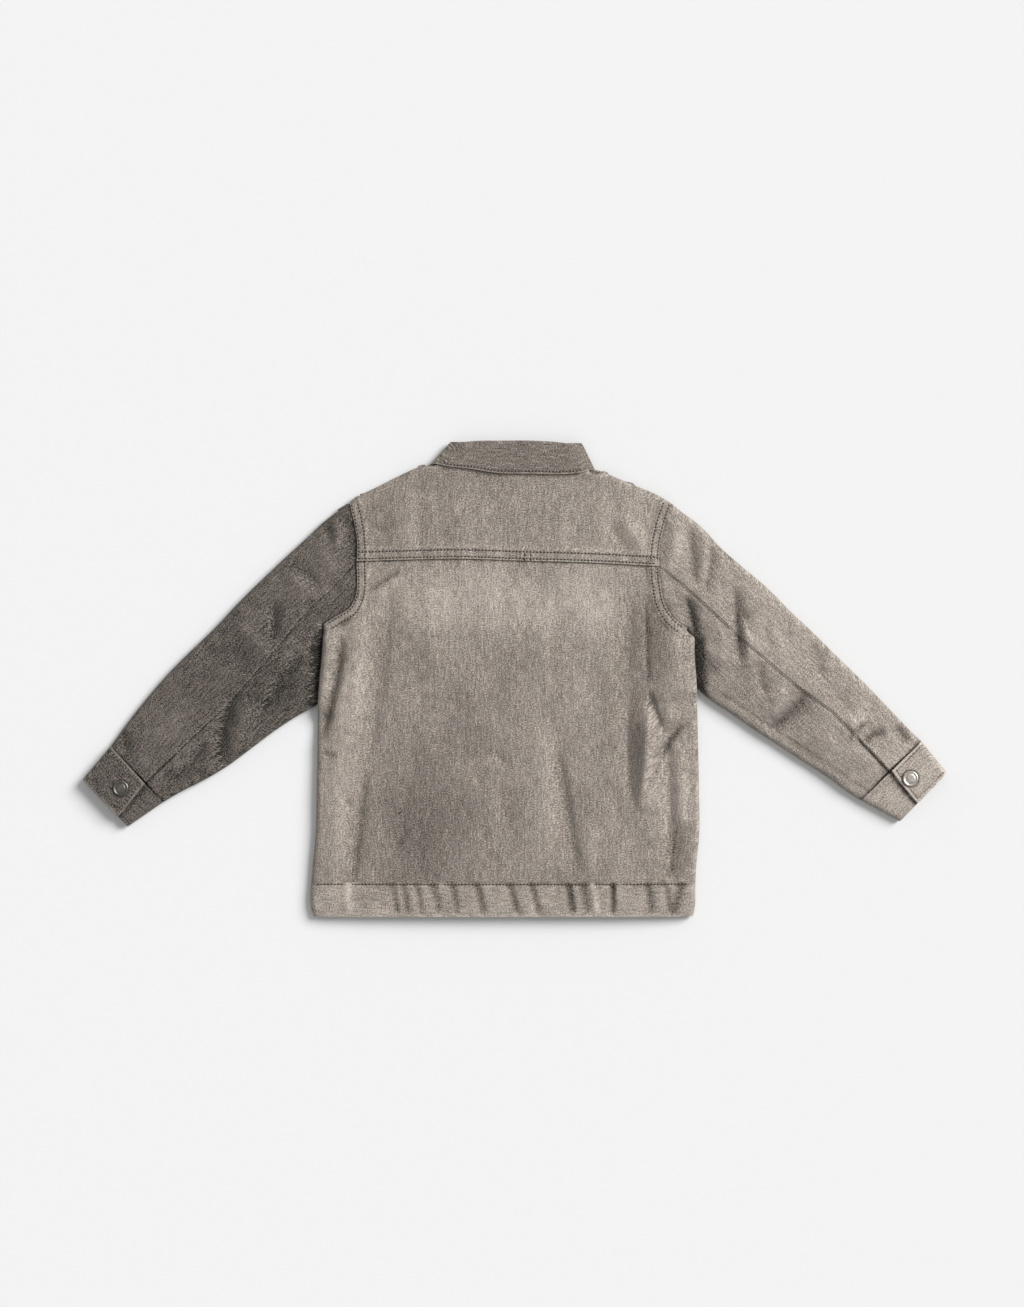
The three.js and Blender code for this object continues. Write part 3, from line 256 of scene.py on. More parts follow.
# Shades of grey-brown on a scale from 0, darkest, to 1, lightest. The left sleeve and cuff are darker
# than the right ones, partly by the cloth's tone and partly by painted shade on the left and painted
# light on
# the right. Patches: x, y, reach in x, reach in y, and how much lighter the cloth is in the middle of
# that patch. The first three are washed-out fades; the yoke's two at x -114 and 110 are painted light
# that grows towards the right; the last three are painted shade in the fold valleys on the right of the
# back.
BASE_SHADE = {"back": 0.51, "yoke": 0.51, "hem": 0.62, "collar": 0.40, "left": 0.215, "right": 0.58}
BODY_PATCHES = [
    [-80, 84, 62, 34, 0.18], [74, 76, 66, 36, 0.15], [0, 80, 60, 36, 0.06], [-84, -145, 52, 70, -0.17],
    [0, -160, 60, 60, 0.01], [-174, -90, 26, 150, 0.05], [-114, 148, 60, 60, -0.03],
    [110, 150, 60, 50, 0.09], [166, -110, 22, 110, 0.07], [-146, 10, 20, 60, 0.05],
    [144, 26, 14, 40, -0.15], [122, -62, 8, 42, -0.14], [126, 60, 12, 30, -0.06],
]
# Noises of the shade: amount, size, seed, and the share by which y is squeezed
NOISES = {
    "body": [(0.035, 4.5, 24, 0.1), (0.030, 14, 21, 0.35), (0.022, 5, 22, 1), (0.030, 38, 23, 1)],
    "sleeve": [(0.028, 13, 41, 1), (0.020, 5, 42, 1), (0.025, 34, 43, 1)],
    "hem": [(0.03, 12, 52, 1), (0.02, 5, 53, 1)],
    "collar": [(0.03, 14, 61, 1), (0.02, 5, 62, 1)],
    "cuff": [(0.03, 9, 72, 1)],
    "wrinkles": [(0.6, 16, 3, 0.6), (0.45, 8, 5, 1), (0.3, 4.5, 7, 1)],
}
# How strongly a sleeve's ridges and valleys show (partly rubbed wear, partly painted light and shade),
# the painted shadow in its slit, and its seam's rubbed edge
SLEEVE_WEAR_AND_SHADE = {"left": {"folds": 0.020, "slit": 0.55, "seam": 0.17},
               "right": {"folds": 0.032, "slit": 0.85, "seam": 0.07}}
GROOVE_STRENGTH = 1.3
# Creases so deep that little light gets in: a curve and half width as for a fold, the share of the
# shade that is lost, and the lean
BODY_GROOVES = [
    [131, 76, 133, 30, 134, -8, 1.6, 0.34, 0], [135, -10, 141, -32, 150, -54, 2.0, 0.40, 0],
    [171, -45, 158, -52, 148, -78, 2.6, 0.42, 0.3], [164, -140, 158, -170, 155, -200, 3.0, 0.35, 0],
    [-171, 46, -172, 4, -190, -56, 3.4, 0.42, 0], [-160, 62, -166, 58, -174, 52, 3, 0.3, 0],
    [-112, 108, -128, 98, -149, 84, 1.8, 0.30, 0], [-146, -90, -152, -140, -160, -206, 3.5, 0.24, 0],
    [44, -70, 52, -110, 64, -196, 3.5, 0.22, -0.3], [-190, -71, -184, -77, -176, -77, 2.2, 0.3, 0],
]
SLEEVE_GROOVES = {
    "left": [
        [-240, 74, -238, 50, -242, 36, 2.6, 0.42, 0], [-276, -12, -294, -45, -292, -88, 3.6, 0.42, 0.3],
        [-210, 24, -236, -10, -252, -36, 3.4, 0.34, 0], [-224, 114, -206, 106, -192, 88, 3.2, 0.30, 0],
        [-389, -54, -388, -66, -385, -76, 3.0, 0.36, 0],
        [-306, -64, -320, -84, -340, -102, 2.6, 0.30, 0],
        [-352, -95, -344, -101, -336, -96, 3.6, 0.26, 0],
    ],
    "right": [
        [170, 84, 180, 66, 182, 34, 3.8, 0.62, 0.4], [221, 88, 222, 50, 226, 14, 3.0, 0.36, 0.2],
        [186, 30, 194, 14, 206, 6, 6, 0.36, 0], [289, -14, 280, -38, 252, -50, 3.6, 0.34, 0],
        [176, 148, 180, 120, 181, 92, 3.0, 0.26, 0], [197, 134, 199, 110, 190, 84, 2.6, 0.26, 0],
        [341.7, -58, 344, -44, 357, -43.5, 1.4, 0.28, 0],
        [349, -64, 356, -54, 368, -53.5, 3.2, 0.38, 0],
        [381, -48, 388, -54, 391, -64, 2.6, 0.34, 0], [333, -63, 338, -49, 352, -43, 1.8, 0.26, 0],
    ],
}
SLEEVE_PATCHES = {
    "left": [[-214, 108, 40, 40, 0.06], [-250, -12, 50, 50, -0.07], [-344, -51, 50, 40, 0.03],
             [-395, -105, 36, 36, -0.05]],
    "right": [[206, 118, 40, 50, 0.03], [276, 38, 50, 50, 0.06], [246, -11, 50, 40, -0.05],
              [330, -20, 50, 50, 0.04], [405, -102, 36, 36, 0.15]],
}


# Curves and fields in numpy

def smooth(v):
    """Zero below 0, one above 1, and 3v^2 - 2v^3 between."""
    v = np.clip(v, 0, 1)
    return v * v * (3 - 2 * v)


def lerp(a, b, t):
    return a + (b - a) * t


def bell(x, width):
    """Gaussian: 1 at x = 0 and 0.37 at the width."""
    return np.exp(-(x / width) ** 2)


def quarter(v):
    """Quarter circle: from 0 at v = 0, steep at first, to 1 at v = 1 and level from there."""
    return np.sqrt(1 - (1 - np.clip(v, 0, 1)) ** 2)


def curve(points, shares):
    """Cubic Hermite curve through the points, with the chord length as its parameter. The tangent at a
    point is the mean of its two chords' slopes, each weighted by the other's length."""
    p = np.asarray(points, float)
    chord = np.diff(p, axis=0)
    step = np.sqrt((chord ** 2).sum(1))
    at = np.r_[0, np.cumsum(step)]
    slope = chord / step[:, None]
    inner = slope[1:] * step[:-1, None] + slope[:-1] * step[1:, None]
    inner = inner / (step[1:] + step[:-1])[:, None]
    tangent = np.vstack([slope[:1], inner, slope[-1:]])
    s = np.clip(np.asarray(shares, float), 0, 1) * at[-1]
    i = np.clip(np.searchsorted(at, s) - 1, 0, len(step) - 1)
    t = ((s - at[i]) / step[i])[..., None]
    h = step[i][..., None]
    return ((2 * t ** 3 - 3 * t ** 2 + 1) * p[i] + (t ** 3 - 2 * t ** 2 + t) * h * tangent[i]
            + (3 * t ** 2 - 2 * t ** 3) * p[i + 1] + (t ** 3 - t ** 2) * h * tangent[i + 1])


def line_of(points):
    return curve(points, np.linspace(0, 1, 91))


def beside(line, xy, block=4000):
    """For each place: its distance to a chain of straight pieces, the length along the chain to its
    nearest point, the vector from there, and +1 on the left hand of the chain or -1 on the right."""
    start = line[:-1]
    run = np.diff(line, axis=0)
    square = (run ** 2).sum(1)
    before = np.r_[0, np.cumsum(np.sqrt(square))]
    flat = np.asarray(xy, float).reshape(-1, 2)
    parts = []
    for low in range(0, len(flat), block):
        q = flat[low:low + block, None] - start[None]
        t = np.clip((q * run).sum(2) / square, 0, 1)
        off = q - t[..., None] * run
        distance = np.sqrt((off ** 2).sum(2))
        k = distance.argmin(1)
        row = np.arange(len(k))
        off = off[row, k]
        hand = np.where(run[k, 0] * off[:, 1] - run[k, 1] * off[:, 0] >= 0, 1.0, -1.0)
        normal = np.stack([-run[k, 1], run[k, 0]], 1) / np.sqrt(square[k])[:, None]
        parts.append(np.column_stack([distance[row, k], before[k] + t[row, k] * np.sqrt(square[k]), off,
                                      hand, normal]))
    found = np.concatenate(parts)
    shape = np.shape(xy)[:-1]
    return (found[:, 0].reshape(shape), found[:, 1].reshape(shape), found[:, 2:4].reshape(*shape, 2),
            found[:, 4].reshape(shape), found[:, 5:7].reshape(*shape, 2))


def nearest(edges, xy):
    """Distance to the nearest of some edges and the direction from it into the cloth."""
    best = np.full(np.shape(xy)[:-1], np.inf)
    inward = np.zeros(np.shape(xy))
    for line, hand in edges:
        distance, _, off, _, normal = beside(line, xy)
        toward = np.where((distance > 0.05)[..., None], off / np.maximum(distance, 1e-6)[..., None],
                          normal * hand)
        closer = distance < best
        best = np.where(closer, distance, best)
        inward = np.where(closer[..., None], toward, inward)
    return best, inward


def folds(table, xy):
    """Sum of Gaussian ridges and troughs. Each lies along a bent line, has its height times
    1 - (2s - 1)^4 along it, and falls off as exp(-(distance / half width)^1.6) across it."""
    total = np.zeros(np.shape(xy)[:-1])
    t = np.linspace(0, 1, 15)[:, None]
    for x0, y0, x1, y1, x2, y2, half, height, lean in table:
        line = (np.array([x0, y0]) * (1 - t) ** 2 + 2 * np.array([x1, y1]) * t * (1 - t)
                + np.array([x2, y2]) * t ** 2)
        reach = 3.5 * half
        near = ((xy >= line.min(0) - reach) & (xy <= line.max(0) + reach)).all(-1)
        if not near.any():
            continue
        distance, along, _, hand, _ = beside(line, xy[near])
        share = along / np.sqrt((np.diff(line, axis=0) ** 2).sum(1)).sum()
        width = half * (1 + lean * hand)
        total[near] += height * (1 - (2 * share - 1) ** 4) * np.exp(-(distance / width) ** 1.6)
    return total * FOLD_STRENGTH


def mottle(xy, size, seed):
    """Smooth value noise from -1 to 1: seeded random numbers on a square lattice of the given size,
    mixed between by 3t^2 - 2t^3."""
    lattice = np.random.default_rng(seed).uniform(-1, 1, (256, 256))
    q = np.asarray(xy) / size + 128.37
    cell = np.floor(q).astype(int)
    t = smooth(q - cell)
    i, j = cell[..., 0] % 255, cell[..., 1] % 255
    low = lerp(lattice[i, j], lattice[i + 1, j], t[..., 0])
    high = lerp(lattice[i, j + 1], lattice[i + 1, j + 1], t[..., 0])
    return lerp(low, high, t[..., 1])


def mottles(xy, kind):
    """Sum of the noises listed for one kind of piece."""
    return sum(amount * mottle(xy * np.array([1.0, squeeze]), size, seed)
               for amount, size, seed, squeeze in NOISES[kind])


def ripple(along, size, seed):
    """Value noise along one length."""
    return mottle(np.stack([along, np.zeros_like(along)], -1), size, seed)


def patches(table, xy):
    """Sum of soft round patches, Gaussian in x and in y."""
    total = np.zeros(np.shape(xy)[:-1])
    for x, y, reach_x, reach_y, amount in table:
        total += amount * np.exp(-((xy[..., 0] - x) / reach_x) ** 2 - ((xy[..., 1] - y) / reach_y) ** 2)
    return total


# Lines of the laid garment
for _side in SIDES.values():
    _side["side_edge"] = (line_of(_side["side"]), _side["sign"])
    _side["top_edge"] = (line_of(_side["shoulder"] + _side["sleeve_top"][1:]), -_side["sign"])
    _side["bottom_edge"] = (line_of(_side["sleeve_bottom"]), _side["sign"])
    _side["underarm"] = _side["hole_under"][-1]
    _side["hole_front"] = _side["hole_top"] + _side["hole_under"][1:]
    _side["hole_line"] = line_of(_side["hole_front"])
    _side["seam_line"] = line_of(_side["back_seam"])
YOKE_LINE = line_of(YOKE_SEAM)
LEFT, RIGHT = SIDES["left"], SIDES["right"]


def side_x(side, y):
    """x of the body's side edge at a level."""
    line = side["side_edge"][0]
    return np.interp(y, line[:, 1], line[:, 0])


def by_side(function, xy):
    """A field that is worked out with the nearer half's tables."""
    return np.where(xy[..., 0] < 0, function(LEFT, xy), function(RIGHT, xy))


def tuck_share(side, y):
    """How much of its lift over the sleeve the body's side has at a level."""
    return smooth((side["underarm"][1] - 4 - y) / 15) * smooth((y - side["tuck_end"] + 16) / 12)


def inside_side(side, xy):
    """How far in from the body's side edge a place lies, negative outside it."""
    return (side_x(side, xy[..., 1]) - xy[..., 0]) * side["sign"]


def body_floor(xy):
    """Height of the body's lower layer: lifted where it lies on the sleeve, on the collar's points."""
    tuck = by_side(lambda side, p: TUCK_LIFT * tuck_share(side, p[..., 1])
                   * (1 - smooth((inside_side(side, p) - 15) / 32)), xy)
    away = np.hypot(xy[..., 0] / NECK_POINTS[0], (xy[..., 1] - NECK_Y) / NECK_POINTS[1])
    return np.maximum(tuck, COLLAR_LIFT * (1 - smooth((away - 1) / 0.35)))


def body_free(xy, distance):
    """Height of the body's upper layer: a crown that rises away from the edges, lower at the hem,
    with the folds on it, level at the neck, and lifted beside the underarm."""
    y = xy[..., 1]
    free = (EDGE_HEIGHT + CROWN * (1 - np.exp(-distance / CROWN_REACH))
            - HEM_DROP * np.exp(-(y - HEM_BOTTOM) / HEM_DROP_REACH) + folds(BODY_FOLDS, xy))
    away = np.hypot(xy[..., 0] / NECK_LEVEL[0], (y - NECK_Y) / NECK_LEVEL[1])
    neck = 1 - smooth((away - 0.8) / 0.7)
    lifted = by_side(lambda side, p: TUCK_SHOWN * TUCK_LIFT * tuck_share(side, p[..., 1])
                     * (1 - smooth((inside_side(side, p) - 8) / 22)), xy)
    return lerp(free, NECK_HEIGHT, neck) + lifted


def sleeve_free(name):
    """Height of a sleeve's upper layer: its crown and folds, and low where the body lies on it."""
    side = SIDES[name]

    def top(xy, distance):
        free = (EDGE_HEIGHT + CROWN * (1 - np.exp(-distance / CROWN_REACH))
                - WRIST_DROP * smooth((np.abs(xy[..., 0]) - WRIST_X) / 60)
                + folds(SLEEVE_FOLDS[name], xy))
        limit = TUCK_HEIGHT + TUCK_SLOPE * np.maximum(0, -inside_side(side, xy))
        under = smooth((side["underarm"][1] - 1 - xy[..., 1]) / 14)
        return free - under * np.maximum(0, free - limit)
    return top


BODY = {"edges": [e for s in SIDES.values() for e in (s["side_edge"], s["top_edge"])],
        "top": body_free, "floor": body_floor}
SLEEVE = {name: {"edges": [s["top_edge"], s["bottom_edge"]], "top": sleeve_free(name),
                 "floor": lambda xy: np.zeros(np.shape(xy)[:-1])} for name, s in SIDES.items()}


def joined_top(region, xy, distance):
    """The region's own height, mixed with the other region's beside the armhole, so that body and
    sleeve meet at one height there."""
    own = region["top"](xy, distance)
    for name, side in SIDES.items():
        gap = beside(side["hole_line"], xy)[0]
        above = smooth((xy[..., 1] - side["underarm"][1] - 2) / JOIN_REACH)
        share = 0.5 * (1 - smooth(gap / JOIN_REACH)) * above
        near = share > 0
        if not near.any() or (region is not BODY and region is not SLEEVE[name]):
            continue
        other = SLEEVE[name] if region is BODY else BODY
        there = xy[near]
        across = other["top"](there, nearest(other["edges"], there)[0])
        own[near] = lerp(own[near], across, share[near])
    return own


def wall_points(region, xy, layer, wall, relief=0.0, lift=0.0):
    """Outer and inner points of a wall of cloth. With d the distance to the nearest edge and
    turned = 1 - min(1, d / reach), both layers turn over in a quarter ellipse: the outer one lies at
    middle + layer * half height * sqrt(1 - turned^2), and the inner one a wall further in."""
    xy = np.asarray(xy, float)
    distance, inward = nearest(region["edges"], xy)
    high = joined_top(region, xy, distance) if "flat" not in region else region["top"](xy, distance)
    low = region["floor"](xy)
    middle, half = (high + low) / 2, (high - low) / 2
    turned = 1 - np.minimum(1, distance / FOLD_REACH)
    rise = np.sqrt(1 - turned ** 2)
    outer = np.concatenate([xy, (middle + layer * (half + relief) * rise + lift)[..., None]], -1)
    inner = np.concatenate([xy + inward * (wall * turned)[..., None],
                            (middle + layer * (half - wall) * rise + lift)[..., None]], -1)
    return outer, inner


# Meshes

def put(name, points, faces):
    """A smoothly shaded mesh object in metres, from arrays of points in millimetres and of faces with
    one corner count. The faces are turned if the volume they enclose would be negative."""
    points = np.asarray(points, float) * MM
    a, b, c = points[faces[:, 0]], points[faces[:, 1]], points[faces[:, 2]]
    volume = (np.cross(a, b) * c).sum()
    if faces.shape[1] == 4:
        volume += (np.cross(a, c) * points[faces[:, 3]]).sum()
    if volume < 0:
        faces = faces[:, ::-1]
    mesh = bpy.data.meshes.new(name)
    mesh.vertices.add(len(points))
    mesh.vertices.foreach_set("co", points.ravel())
    mesh.loops.add(faces.size)
    mesh.loops.foreach_set("vertex_index", faces.ravel().astype(np.int32))
    mesh.polygons.add(len(faces))
    mesh.polygons.foreach_set("loop_start", np.arange(0, faces.size, faces.shape[1], dtype=np.int32))
    mesh.polygons.foreach_set("use_smooth", np.full(len(faces), True))
    mesh.update(calc_edges=True)
    mesh.validate()
    thing = bpy.data.objects.new(name, mesh)
    bpy.context.scene.collection.objects.link(thing)
    return thing


def wall_faces(rows, columns):
    """Quads of a closed wall: the outer grid, the inner grid the other way round, and a rim."""
    grid = np.arange(rows * columns).reshape(rows, columns)
    inner = grid + rows * columns

    def quads(a, b, c, d):
        return np.stack([a.ravel(), b.ravel(), c.ravel(), d.ravel()], 1)
    return np.concatenate([
        quads(grid[:-1, :-1], grid[:-1, 1:], grid[1:, 1:], grid[1:, :-1]),
        quads(inner[:-1, :-1], inner[1:, :-1], inner[1:, 1:], inner[:-1, 1:]),
        quads(grid[0, :-1], inner[0, :-1], inner[0, 1:], grid[0, 1:]),
        quads(grid[-1, :-1], grid[-1, 1:], inner[-1, 1:], inner[-1, :-1]),
        quads(grid[:-1, 0], grid[1:, 0], inner[1:, 0], inner[:-1, 0]),
        quads(grid[:-1, -1], inner[:-1, -1], inner[1:, -1], grid[1:, -1]),
    ])


def cloth_wall(name, outer, inner, shade, grain):
    """A panel: a closed wall with its shade as an attribute and its weave's directions as a UV map in
    metres, turned by the grain's angle. Height is added to both so that the weave runs on round
    edges. The inner face is a little darker."""
    rows, columns = outer.shape[:2]
    thing = put(name, np.concatenate([outer.reshape(-1, 3), inner.reshape(-1, 3)]),
                wall_faces(rows, columns))
    mesh = thing.data
    points = np.empty(len(mesh.vertices) * 3)
    mesh.vertices.foreach_get("co", points)
    points = points.reshape(-1, 3)
    turn = math.radians(grain)
    across = points[:, 0] * math.cos(turn) + points[:, 1] * math.sin(turn) + points[:, 2]
    along = -points[:, 0] * math.sin(turn) + points[:, 1] * math.cos(turn) + points[:, 2]
    corner = np.empty(len(mesh.loops), np.int32)
    mesh.loops.foreach_get("vertex_index", corner)
    uv = mesh.uv_layers.new(name="weave")
    uv.uv.foreach_set("vector", np.column_stack([across, along])[corner].ravel())
    both = np.concatenate([shade.ravel(), shade.ravel() * 0.92])
    mesh.attributes.new("shade", "FLOAT", "POINT").data.foreach_set("value", np.clip(both, 0.0, 1.0))
    mesh.set_sharp_from_angle(angle=math.radians(60))
    mesh.materials.append(shared("washed_denim", denim_material))
    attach(thing, "root")
    return thing


# Distances of a mesh's rows from a seam, an edge of the cloth, and an edge that is hidden or plain
SEAM_NEAR = [0, 0.3, 0.7, 1.2, 1.9, 2.6, 3.5, 5, 6.5, 7.5, 8.2, 9, 10, 11.5, 13.2]
EDGE_NEAR = [0, 0.2, 0.6, 1.3, 2.2, 3.3, 4.5, 6]
PLAIN_NEAR = [0, 1.5]


def steps(length, first, last, pitch):
    """Shares of a length: close together at its two ends as the lists say, even between."""
    count = max(2, round((length - first[-1] - last[-1]) / pitch))
    inner = np.linspace(first[-1], length - last[-1], count + 1)[1:-1]
    return np.r_[first, inner, length - np.array(last[::-1])] / length


def ledge(distance, height, width=10.0, rows=STITCH_ROWS):
    """A felled seam: raised up to its width, rounded off at the seam line, with a groove under each
    row of stitches."""
    rise = height * (1 - smooth((distance - width) / 3)) * quarter(distance / 0.9)
    for row in rows:
        rise = rise - 0.28 * bell(distance - row, 0.8)
    return rise


def seam_wear(distance, rows=STITCH_ROWS, edge=0.14, groove=0.10, line=0.28):
    """Shade beside a felled seam: rubbed light on its edge, darker in the stitched grooves."""
    wear_and_shade = edge * bell(distance - 1.0, 0.8) - line * bell(distance, 0.7)
    for row in rows:
        wear_and_shade = wear_and_shade - groove * bell(distance - row, 0.8)
    return wear_and_shade


def puckers(along, distance, size, height, reach, seed):
    """Small ripples that run out from a seam: noise along it, fading with the distance from it."""
    slant = along + 0.25 * distance
    return height * ripple(slant, size, seed) * bell(distance, reach)


def creases(xy):
    """Net of faint sharp creases: the fifth power of one minus the size of a noise, slanted one way and
    the other, and each of the two kept to some places by a wider noise."""
    turned = np.stack([xy[..., 0] + 0.5 * xy[..., 1], 0.45 * xy[..., 1] - 0.3 * xy[..., 0]], -1)
    other = np.stack([0.5 * xy[..., 1] - 0.35 * xy[..., 0], xy[..., 0] + 0.3 * xy[..., 1]], -1)
    net = (1 - np.abs(mottle(turned, 30, 81))) ** 5 * smooth(0.5 + mottle(xy, 60, 82))
    return net + (1 - np.abs(mottle(other, 26, 83))) ** 5 * smooth(0.4 + mottle(xy, 50, 84))


def wrinkles(xy, height):
    """Fine unevenness of washed cloth: noise of three sizes and a net of creases."""
    return height * (mottles(xy, "wrinkles") - 1.1 * creases(xy))


# Relief and shade of the panels' outer faces

def light_left(grooves, xy):
    """Share of its shade that the cloth keeps in deep creases."""
    return 1 - np.clip(folds(grooves, xy) * GROOVE_STRENGTH / FOLD_STRENGTH, 0, 0.9)


def body_relief(xy, piece):
    """Fine relief of back, yoke and fronts: felled seams, puckers along them and fine wrinkles."""
    k = bpy.context.scene.jacket_sizes
    seam, along = beside(YOKE_LINE, xy)[:2]
    relief = wrinkles(xy, 0.38) + puckers(along, seam, 9, 0.55, 12, 11)
    if piece == "yoke":
        relief += ledge(seam, k.seam_height * 1000, 11.5, YOKE_ROWS)
    if piece == "back":
        relief -= 0.35 * bell(seam, 1.5)
    for side in SIDES.values():
        gap, run = beside(side["hole_line"], xy)[:2]
        relief += ledge(gap, k.seam_height * 1000) + puckers(run, gap, 8, 0.5, 14, 13 + side["sign"])
    return relief


def body_shade(xy, piece):
    """Shade of the body: washed patches with some of painted light and shade, mottling, painted shade
    in faint and deep creases, ridges lighter and valleys darker (partly rubbed wear, partly painted
    light and shade) and worn seams.
    """
    # The creases term is painted shade in the net of faint creases
    shade = BASE_SHADE[piece] + patches(BODY_PATCHES, xy) + mottles(xy, "body") - 0.035 * creases(xy)
    # Lighter on the folds' ridges and darker in their valleys: partly rubbed wear, partly painted light
    # and shade
    shade += 0.030 * np.clip(folds(BODY_FOLDS, xy), -4, 3)
    shade *= light_left(BODY_GROOVES, xy)
    seam = beside(YOKE_LINE, xy)[0]
    shade += seam_wear(seam, YOKE_ROWS, 0.10) if piece == "yoke" else -0.22 * bell(seam, 1.6)
    for side in SIDES.values():
        shade += seam_wear(beside(side["hole_line"], xy)[0])
    return shade


def sleeve_relief(xy, name, piece):
    """Fine relief of a sleeve: the felled back seam, its puckers, and those of the armhole."""
    k = bpy.context.scene.jacket_sizes
    side = SIDES[name]
    seam, along = beside(side["seam_line"], xy)[:2]
    gap, run = beside(side["hole_line"], xy)[:2]
    relief = wrinkles(xy, 0.42)
    relief = relief + puckers(along, seam, 10, 0.5, 13, 31) + puckers(run, gap, 9, 0.7, 16, 33)
    relief -= 0.4 * bell(gap, 1.5)
    if piece == "upper":
        relief += ledge(seam, 0.22 * k.seam_height * 1000, rows=())
    else:
        relief -= 0.2 * bell(seam, 1.2)
    return relief


def cuff_gap(side, xy):
    """Distance to the line where the sleeve goes into its cuff."""
    return beside(np.array([side["sleeve_top"][-1], side["sleeve_bottom"][-1]], float), xy)[0]


def sleeve_shade(xy, name, piece):
    """Shade of a sleeve: washed patches, mottling, painted shade in faint creases, ridges lighter and
    valleys darker (partly rubbed wear, partly painted light and shade) and the worn back seam. Painted
    shade darkens it beside the body that lies on it, in deep creases and along the slit, and it is dark
    at the cuff."""
    side, wear_and_shade = SIDES[name], SLEEVE_WEAR_AND_SHADE[name]
    y = xy[..., 1]
    shade = BASE_SHADE[name] + patches(SLEEVE_PATCHES[name], xy) + mottles(xy, "sleeve")
    # Painted shade in the net of faint creases
    shade -= 0.03 * creases(xy)
    # Lighter on the folds' ridges and darker in their valleys: partly rubbed wear, partly painted light
    # and shade
    shade += wear_and_shade["folds"] * np.clip(folds(SLEEVE_FOLDS[name], xy), -5, 3.5)
    # Painted shade where the sleeve runs in beneath the body's side edge, strongest right beside it
    out = np.maximum(0, -inside_side(side, xy))
    below = smooth((side["underarm"][1] + 2 - y) / 16) * smooth((y - side["tuck_end"] + 60) / 40)
    shade *= 1 - 0.96 * below * np.exp(-(out / 11) ** 4)
    shade *= light_left(SLEEVE_GROOVES[name], xy)
    shade *= 1 - 0.75 * bell(cuff_gap(side, xy), 1.9)
    if side["inset"]:
        low = beside(side["bottom_edge"][0], xy)[0]
        shade -= 0.14 * bell(low - side["inset"], 1.1) * smooth((xy[..., 0] - 190) / 30)
    seam, along = beside(side["seam_line"], xy)[:2]
    # Painted shadow in the open slit along the last part of the back seam
    slit = smooth((along - along.max() + SLIT) / 6) * bell(seam, 1.7)
    shade *= 1 - wear_and_shade["slit"] * slit
    if piece == "upper":
        shade += seam_wear(seam, STITCH_ROWS[:1], wear_and_shade["seam"], 0.03, 0.20)
    else:
        shade -= 0.10 * bell(seam, 1.3) + 0.02
    shade -= 0.12 * bell(beside(side["hole_line"], xy)[0], 1.6)
    return shade


# Panels

def seam_inset(side, y):
    """How far in from the side edge the side seam lies at a level: less towards the underarm."""
    return SIDE_SEAM_INSET * smooth((side["underarm"][1] - y) / 30)


def side_line(side, share):
    """Places along the body's side edge from the hem seam to the underarm's corner."""
    top = side["underarm"][1] - 0.8
    y = lerp(HEM_SEAM, top, share)
    x = side_x(side, np.minimum(y, 42)) - side["sign"] * 1.4 * smooth((y - 40) / 10)
    corner = side["underarm"][0] - side["sign"] * 1.4
    return np.stack([lerp(x, corner, smooth((y - 40) / (top - 40))), y], -1)


def back_grid():
    """Lower back: rows run from side seam to side seam, then from armhole to armhole, and take on the
    bow of the yoke seam towards the top."""
    up = steps(256, [0, 0.4, 1, 1.8, 2.8, 4], PLAIN_NEAR, 1.9)
    hole = steps(80, PLAIN_NEAR, [0, 0.4, 0.9, 1.5, 2.4], 1.9)[1:]
    u = steps(380, SEAM_NEAR, SEAM_NEAR, 1.9)
    ends = []
    for side in (LEFT, RIGHT):
        on_side = side_line(side, up)
        on_side[:, 0] -= side["sign"] * seam_inset(side, on_side[:, 1])
        ends.append(np.vstack([on_side, curve(side["hole_under"], 1 - hole)]))
    straight = lerp(ends[0][:, None], ends[1][:, None], u[None, :, None])
    top = curve(YOKE_SEAM, u)
    bow = top - lerp(top[0], top[-1], u[:, None])
    share = smooth((ends[0][:, 1] - 40) / 70)
    return straight + share[:, None, None] * bow[None]


def beside_neck(row):
    """The place beside a station of the collar's neck seam at which the cloth below it ends."""
    neck, roll = np.array(row[:2], float), np.array(row[2:4], float)
    rise = (roll - neck) / np.linalg.norm(roll - neck)
    return neck - rise * COLLAR_CLEARANCE


def yoke_grid():
    """Yoke: rows run up from its seam to the shoulder edges and the back neck. Each keeps to the
    armholes at its ends by a share that fades as the cube of the distance."""
    u = steps(310, SEAM_NEAR, SEAM_NEAR, 1.9)
    s = 1 - steps(80, [0, 0.3, 0.7, 1.2, 1.8, 2.4, 3.2, 4.4, 5.8, 6.8, 7.6, 8.4, 9.4], EDGE_NEAR, 1.5)
    bottom = curve(YOKE_SEAM, u)
    stations = [COLLAR_FRONT["left"][-1], *COLLAR_BACK, COLLAR_FRONT["right"][-1]]
    neck = [LEFT["shoulder"][0], *(beside_neck(row) for row in stations), RIGHT["shoulder"][0]]
    top = np.where((u < 0.3)[:, None], curve(LEFT["shoulder"], 1 - u / 0.3),
                   np.where((u > 0.7)[:, None], curve(RIGHT["shoulder"], (u - 0.7) / 0.3),
                            curve(neck, (u - 0.3) / 0.4)))
    v = (1 - s)[:, None, None]
    rows = lerp(bottom[None], top[None], v)
    left = curve(LEFT["hole_top"], s) - lerp(bottom[0], top[0], v[:, 0])
    right = curve(RIGHT["hole_top"], s) - lerp(bottom[-1], top[-1], v[:, 0])
    u = u[None, :, None]
    return rows + left[:, None] * (1 - u) ** 3 + right[:, None] * u ** 3


def centre_x(y):
    """x of the centre front at a level."""
    return lerp(-7, -0.3, (y - HEM_SEAM) / (FRONT_NECK - HEM_SEAM))


